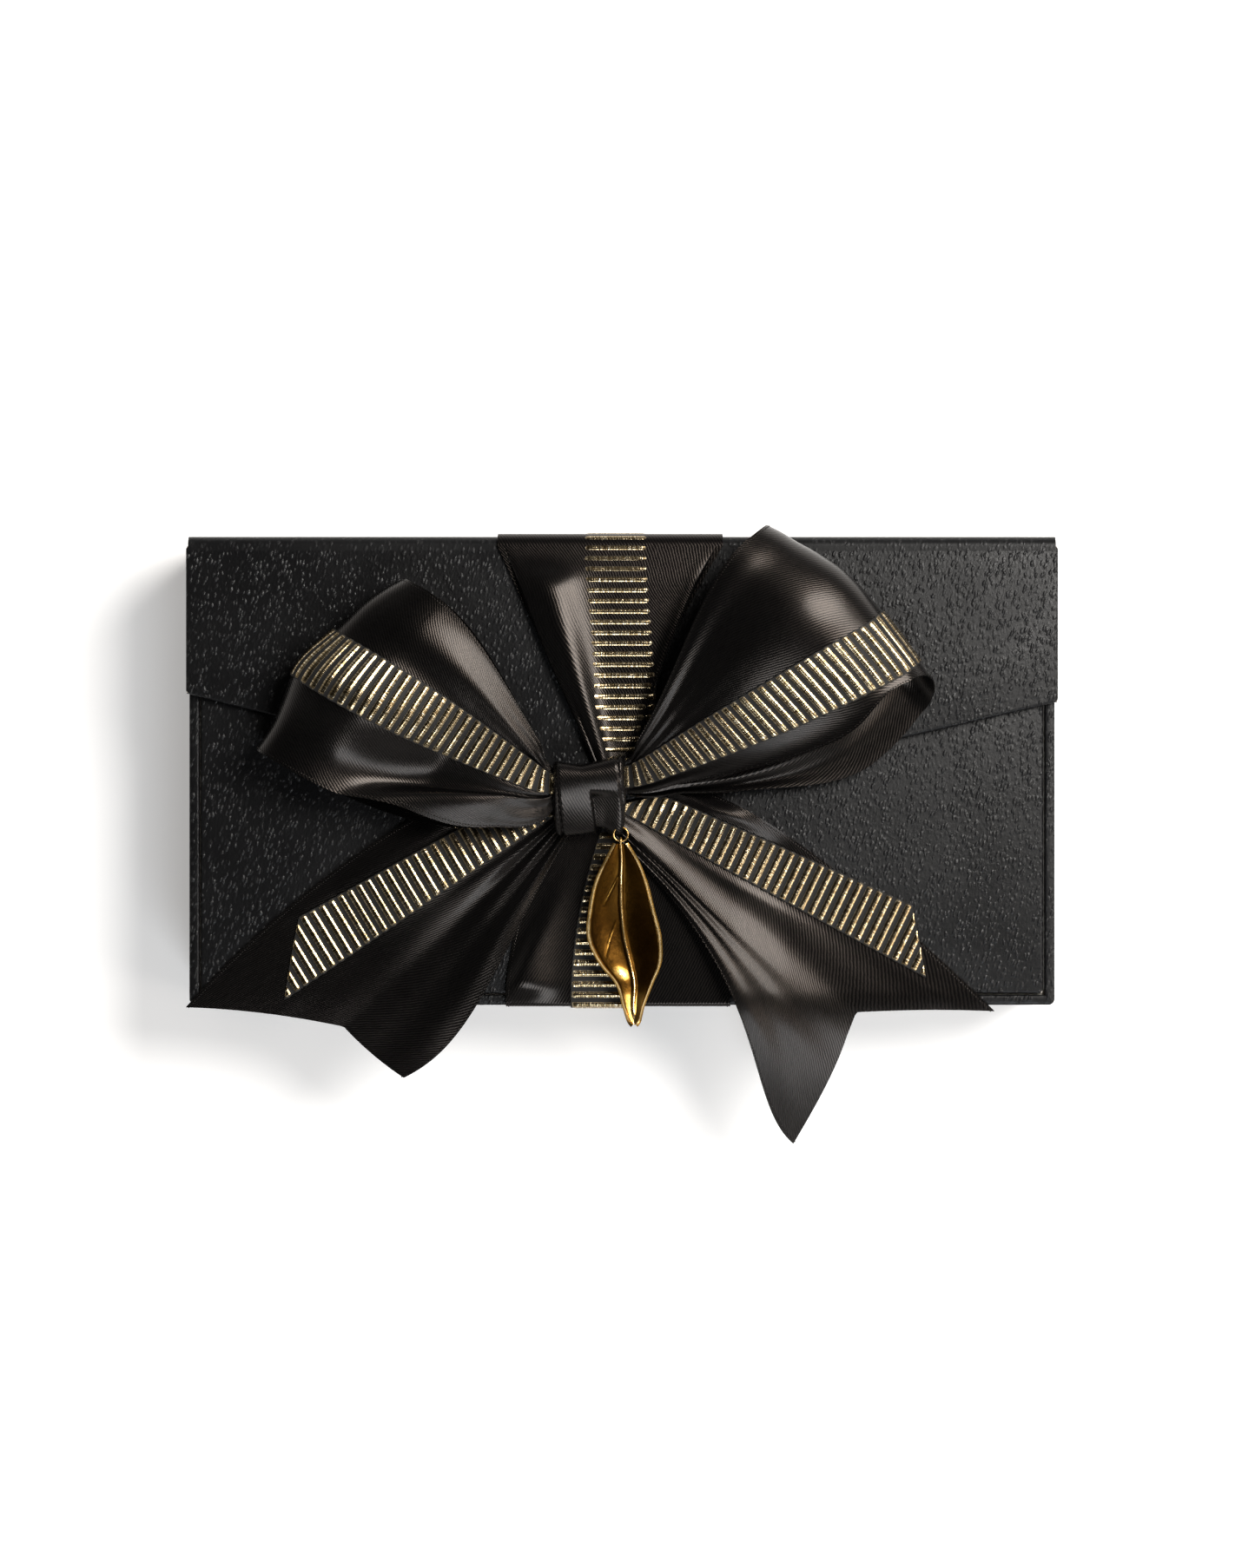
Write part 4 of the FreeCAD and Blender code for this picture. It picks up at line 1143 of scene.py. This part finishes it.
brass = antique_brass()
ring_low, ring_high = node_box("charm_ring")
ring_centre = (ring_low + ring_high) / 2
ring_radius = (ring_high[1] - ring_low[1]) / 2 - ring_wire
ring_faces = grid_faces(ring_steps, wire_steps, True, True)
ring_points = wire_ring(ring_centre, ring_radius, ring_wire, True)
charm_ring = make_piece("charm_ring_wire", ring_points, ring_faces, brass)
mark(charm_ring, "rubbed", "FLOAT", np.full(ring_steps * wire_steps, wire_rub, np.float32))
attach(charm_ring, "flap")
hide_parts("charm_ring")


# Leaf. A cast brass leaf, cupped like a spoon, with a raised midrib, faint side veins, a rubbed bright
# edge and a drawn-out curled tip. It hangs by an eyelet cast at its top.
leaf_length = 45.6
leaf_width = 18.2
leaf_thick = 0.8
leaf_rounding = (0.965, 0.036)
edge_wave, edge_waves = 0.25, 9
edge_roll, edge_roll_from = 0.3, 0.86
leaf_cup = 3.4
leaf_tip_curl = 4.5
leaf_rows = [(0.0, 0.14, 0.0), (0.08, 0.36, 0.2), (0.2, 0.63, 0.1), (0.36, 0.86, 0.2), (0.53, 1.0, 1.0),
             (0.66, 0.82, 2.4), (0.77, 0.46, 3.4), (0.9, 0.22, 3.2), (1.0, 0.09, 3.4)]
leaf_steps = 120
leaf_columns = 61
eyelet_hole = 0.6
eyelet_wire = 0.3
midrib_height = 0.55
midrib_half = 0.45
midrib_end, midrib_fade = 0.98, 0.1
vein_height = 0.25
vein_half = 0.3
edge_rub_from = 0.88
midrib_rub_half = 0.4
# Painted highlight: a bright spot low on the left of the bowl, laid into the brass colour.
spot_share, spot_long = 0.72, 0.045
spot_aside, spot_wide = -0.5, 0.4
painted_highlight_amount = 0.9
tip_brightening_start, tip_brightening_long = 0.74, 0.14
tip_amount = 0.65
hollow_rub, root_brightening, root_long = 0.12, 0.15, 0.6
vein_rub = 2.2
back_rub = 0.5
leaf_veins = [(0.17, 0.35, -0.5, -4.6), (0.42, 0.63, -1.2, -6.0)]


def smooth_through(places, stops, values):
    """Values on a smooth curve through given stops."""
    stops, values = np.asarray(stops), np.asarray(values)
    slopes = np.gradient(values, stops)
    index = np.clip(np.searchsorted(stops, places, side="right") - 1, 0, len(stops) - 2)
    width = stops[index + 1] - stops[index]
    t = (places - stops[index]) / width
    return ((1 + 2 * t) * (1 - t) ** 2 * values[index] + t * (1 - t) ** 2 * width * slopes[index]
            + t * t * (3 - 2 * t) * values[index + 1] + t * t * (t - 1) * width * slopes[index + 1])


hinge_point = ring_centre - np.array((0, ring_radius, 0))
leaf_bed = rim + run_stack + tail_gap
leaf_root = hinge_point[1] - eyelet_hole
share = np.linspace(0, 1, leaf_steps + 1)[:, None]
t = np.linspace(-1, 1, leaf_columns)[None, :]
stops, width_shares, sideways = zip(*leaf_rows)
width_share = smooth_through(share, stops, width_shares)
rounding = np.clip((share - leaf_rounding[0]) / leaf_rounding[1], 0, 1)
half = leaf_width / 2 * width_share * np.sqrt(1 - rounding ** 2)
keel = between(hinge_point[2] - eyelet_wire, leaf_bed, smooth(2 * share))
keel = keel + leaf_tip_curl * smooth(2 * share - 1) ** 2
x = ring_centre[0] + smooth_through(share, stops, sideways) + half * t
x = x + edge_wave * np.sin(edge_waves * share) * t ** 3
y = np.broadcast_to(leaf_root - leaf_length * share, x.shape)
bowl = keel + leaf_thick + leaf_cup * width_share * t * t
midrib = midrib_height * np.exp(-(half * t / midrib_half) ** 2) * smooth((midrib_end - share) / midrib_fade)
veins = 0
for start, end, first, last in leaf_veins:
    way = np.clip((share - start) / (end - start), 0, 1)
    aside = (half * t - between(first, last, way)) / vein_half
    veins = veins + vein_height * np.sin(math.pi * way) ** 0.5 * np.exp(-aside ** 2)
rolled = edge_roll * smooth((np.abs(t) - edge_roll_from) / (1 - edge_roll_from))
face = np.stack((x, y, bowl + midrib + veins + rolled), axis=2)[:, ::-1]
leaf_points, leaf_faces = shell(face, leaf_thick)
eyelet_points = wire_ring(hinge_point, eyelet_hole + eyelet_wire, eyelet_wire, False).reshape(-1, 3)
leaf_faces = np.concatenate((leaf_faces, np.array(ring_faces) + len(leaf_points)))
leaf_points = np.concatenate((leaf_points, eyelet_points))
leaf = make_piece("leaf_charm_casting", leaf_points, leaf_faces.tolist(), brass, sharp=50)
edge_rub = smooth((np.abs(t) - edge_rub_from) / (1 - edge_rub_from))
midrib_rub = np.exp(-(half * t / midrib_rub_half) ** 2)
# Painted highlight spot, added to the value that brightens the brass.
painted_highlight = painted_highlight_amount * np.exp(-((share - spot_share) / spot_long) ** 2 - ((t - spot_aside) / spot_wide) ** 2)
# Brighter towards the tip.
tip_brightening = tip_amount * smooth((share - tip_brightening_start) / tip_brightening_long)
# Brighter near the eyelet end of the bowl, fading towards the tip.
hollow = hollow_rub + root_brightening * (1 - smooth(share / root_long))
# The brass brightening: wear on the edges, midrib and veins, the painted highlight spot, and the brighter tip
# and eyelet end.
wear_and_highlight = np.broadcast_arrays(edge_rub, midrib_rub, painted_highlight, tip_brightening, hollow, veins * vein_rub)
rubbed = np.maximum.reduce(wear_and_highlight)[:, ::-1].ravel()
rubbed = np.concatenate((rubbed, np.full(rubbed.size, back_rub), np.full(len(eyelet_points), wire_rub)))
mark(leaf, "rubbed", "FLOAT", rubbed.astype(np.float32))
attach(leaf, "charm")
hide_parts("leaf_charm")


# Studio. A pale floor, a large soft lamp behind the right corner, weak ones in front and at the right,
# and a room that is white round the horizon and dim overhead. The camera looks straight down.
floor_size = 6.0
room_tones = [(0.05, 1.0), (0.3, 0.35), (0.6, 0.08), (0.9, 0.007)]
room_fill = 0.23
room_tint = (1.0, 0.92, 0.84)
floor_glow = 0.3
camera_height = 0.9394
camera_place = (0.0014, -0.0033)
camera_lens = 81.5


def seen_rays(tree):
    """1 for rays that show a surface in the picture, straight or by reflection or through glass."""
    ray = node(tree, "ShaderNodeLightPath").outputs
    shown = figure(tree, "MAXIMUM", ray["Is Camera Ray"], ray["Is Glossy Ray"])
    return figure(tree, "MAXIMUM", shown, ray["Is Transmission Ray"])


def add_lamp(name, place, size, power, colour):
    lamp = bpy.data.lights.new(name, "AREA")
    lamp.shape = "DISK"
    lamp.size = size
    lamp.energy = power
    lamp.color = colour
    holder = bpy.data.objects.new(name, lamp)
    holder.location = place
    aim = -holder.location.normalized()
    holder.rotation_euler = aim.to_track_quat("-Z", "Y").to_euler()
    bpy.context.scene.collection.objects.link(holder)


floor_paint = bpy.data.materials.new("pale_floor")
floor_paint.use_nodes = True
tree = floor_paint.node_tree
tree.nodes.remove(tree.nodes["Principled BSDF"])
matt = node(tree, "ShaderNodeBsdfDiffuse", {"Color": (0.8, 0.8, 0.8, 1)})
glow = node(tree, "ShaderNodeEmission", {"Color": (1, 1, 1, 1),
                                         "Strength": figure(tree, "MULTIPLY", seen_rays(tree), floor_glow)})
both = node(tree, "ShaderNodeAddShader", {0: matt.outputs[0], 1: glow.outputs[0]})
set_inputs(tree, tree.nodes["Material Output"], {"Surface": both.outputs[0]})
half_floor = floor_size / 2 / MM
floor_corners = [(x * half_floor, y * half_floor, 0) for x, y in ((-1, -1), (1, -1), (1, 1), (-1, 1))]
floor = make_piece("floor", floor_corners, [(0, 1, 2, 3)], floor_paint)

world = bpy.data.worlds.new("room")
bpy.context.scene.world = world
world.use_nodes = True
tree = world.node_tree
height = node(tree, "ShaderNodeSeparateXYZ", {
    "Vector": node(tree, "ShaderNodeTexCoord").outputs["Generated"]}).outputs["Z"]
shown = ramp(tree, height, *((up, (tone,) * 3) for up, tone in room_tones))
fill = (*(room_fill * part for part in room_tint), 1)
set_inputs(tree, tree.nodes["Background"], {"Color": mix(tree, seen_rays(tree), fill, shown)})

add_lamp("key_lamp", place=(0.42, 0.27, 0.68), size=0.45, power=11.0, colour=(1.0, 0.97, 0.93))
add_lamp("front_lamp", place=(0.12, -0.5, 0.62), size=0.3, power=2.4, colour=(0.9, 0.95, 1.0))
add_lamp("side_lamp", place=(0.52, -0.22, 0.5), size=0.22, power=1.0, colour=(1.0, 0.92, 0.84))

camera = bpy.data.objects.new("camera", bpy.data.cameras.new("camera"))
camera.data.lens = camera_lens
camera.location = (*camera_place, camera_height)
bpy.context.scene.collection.objects.link(camera)
bpy.context.scene.camera = camera
bpy.context.scene.view_settings.view_transform = "Standard"
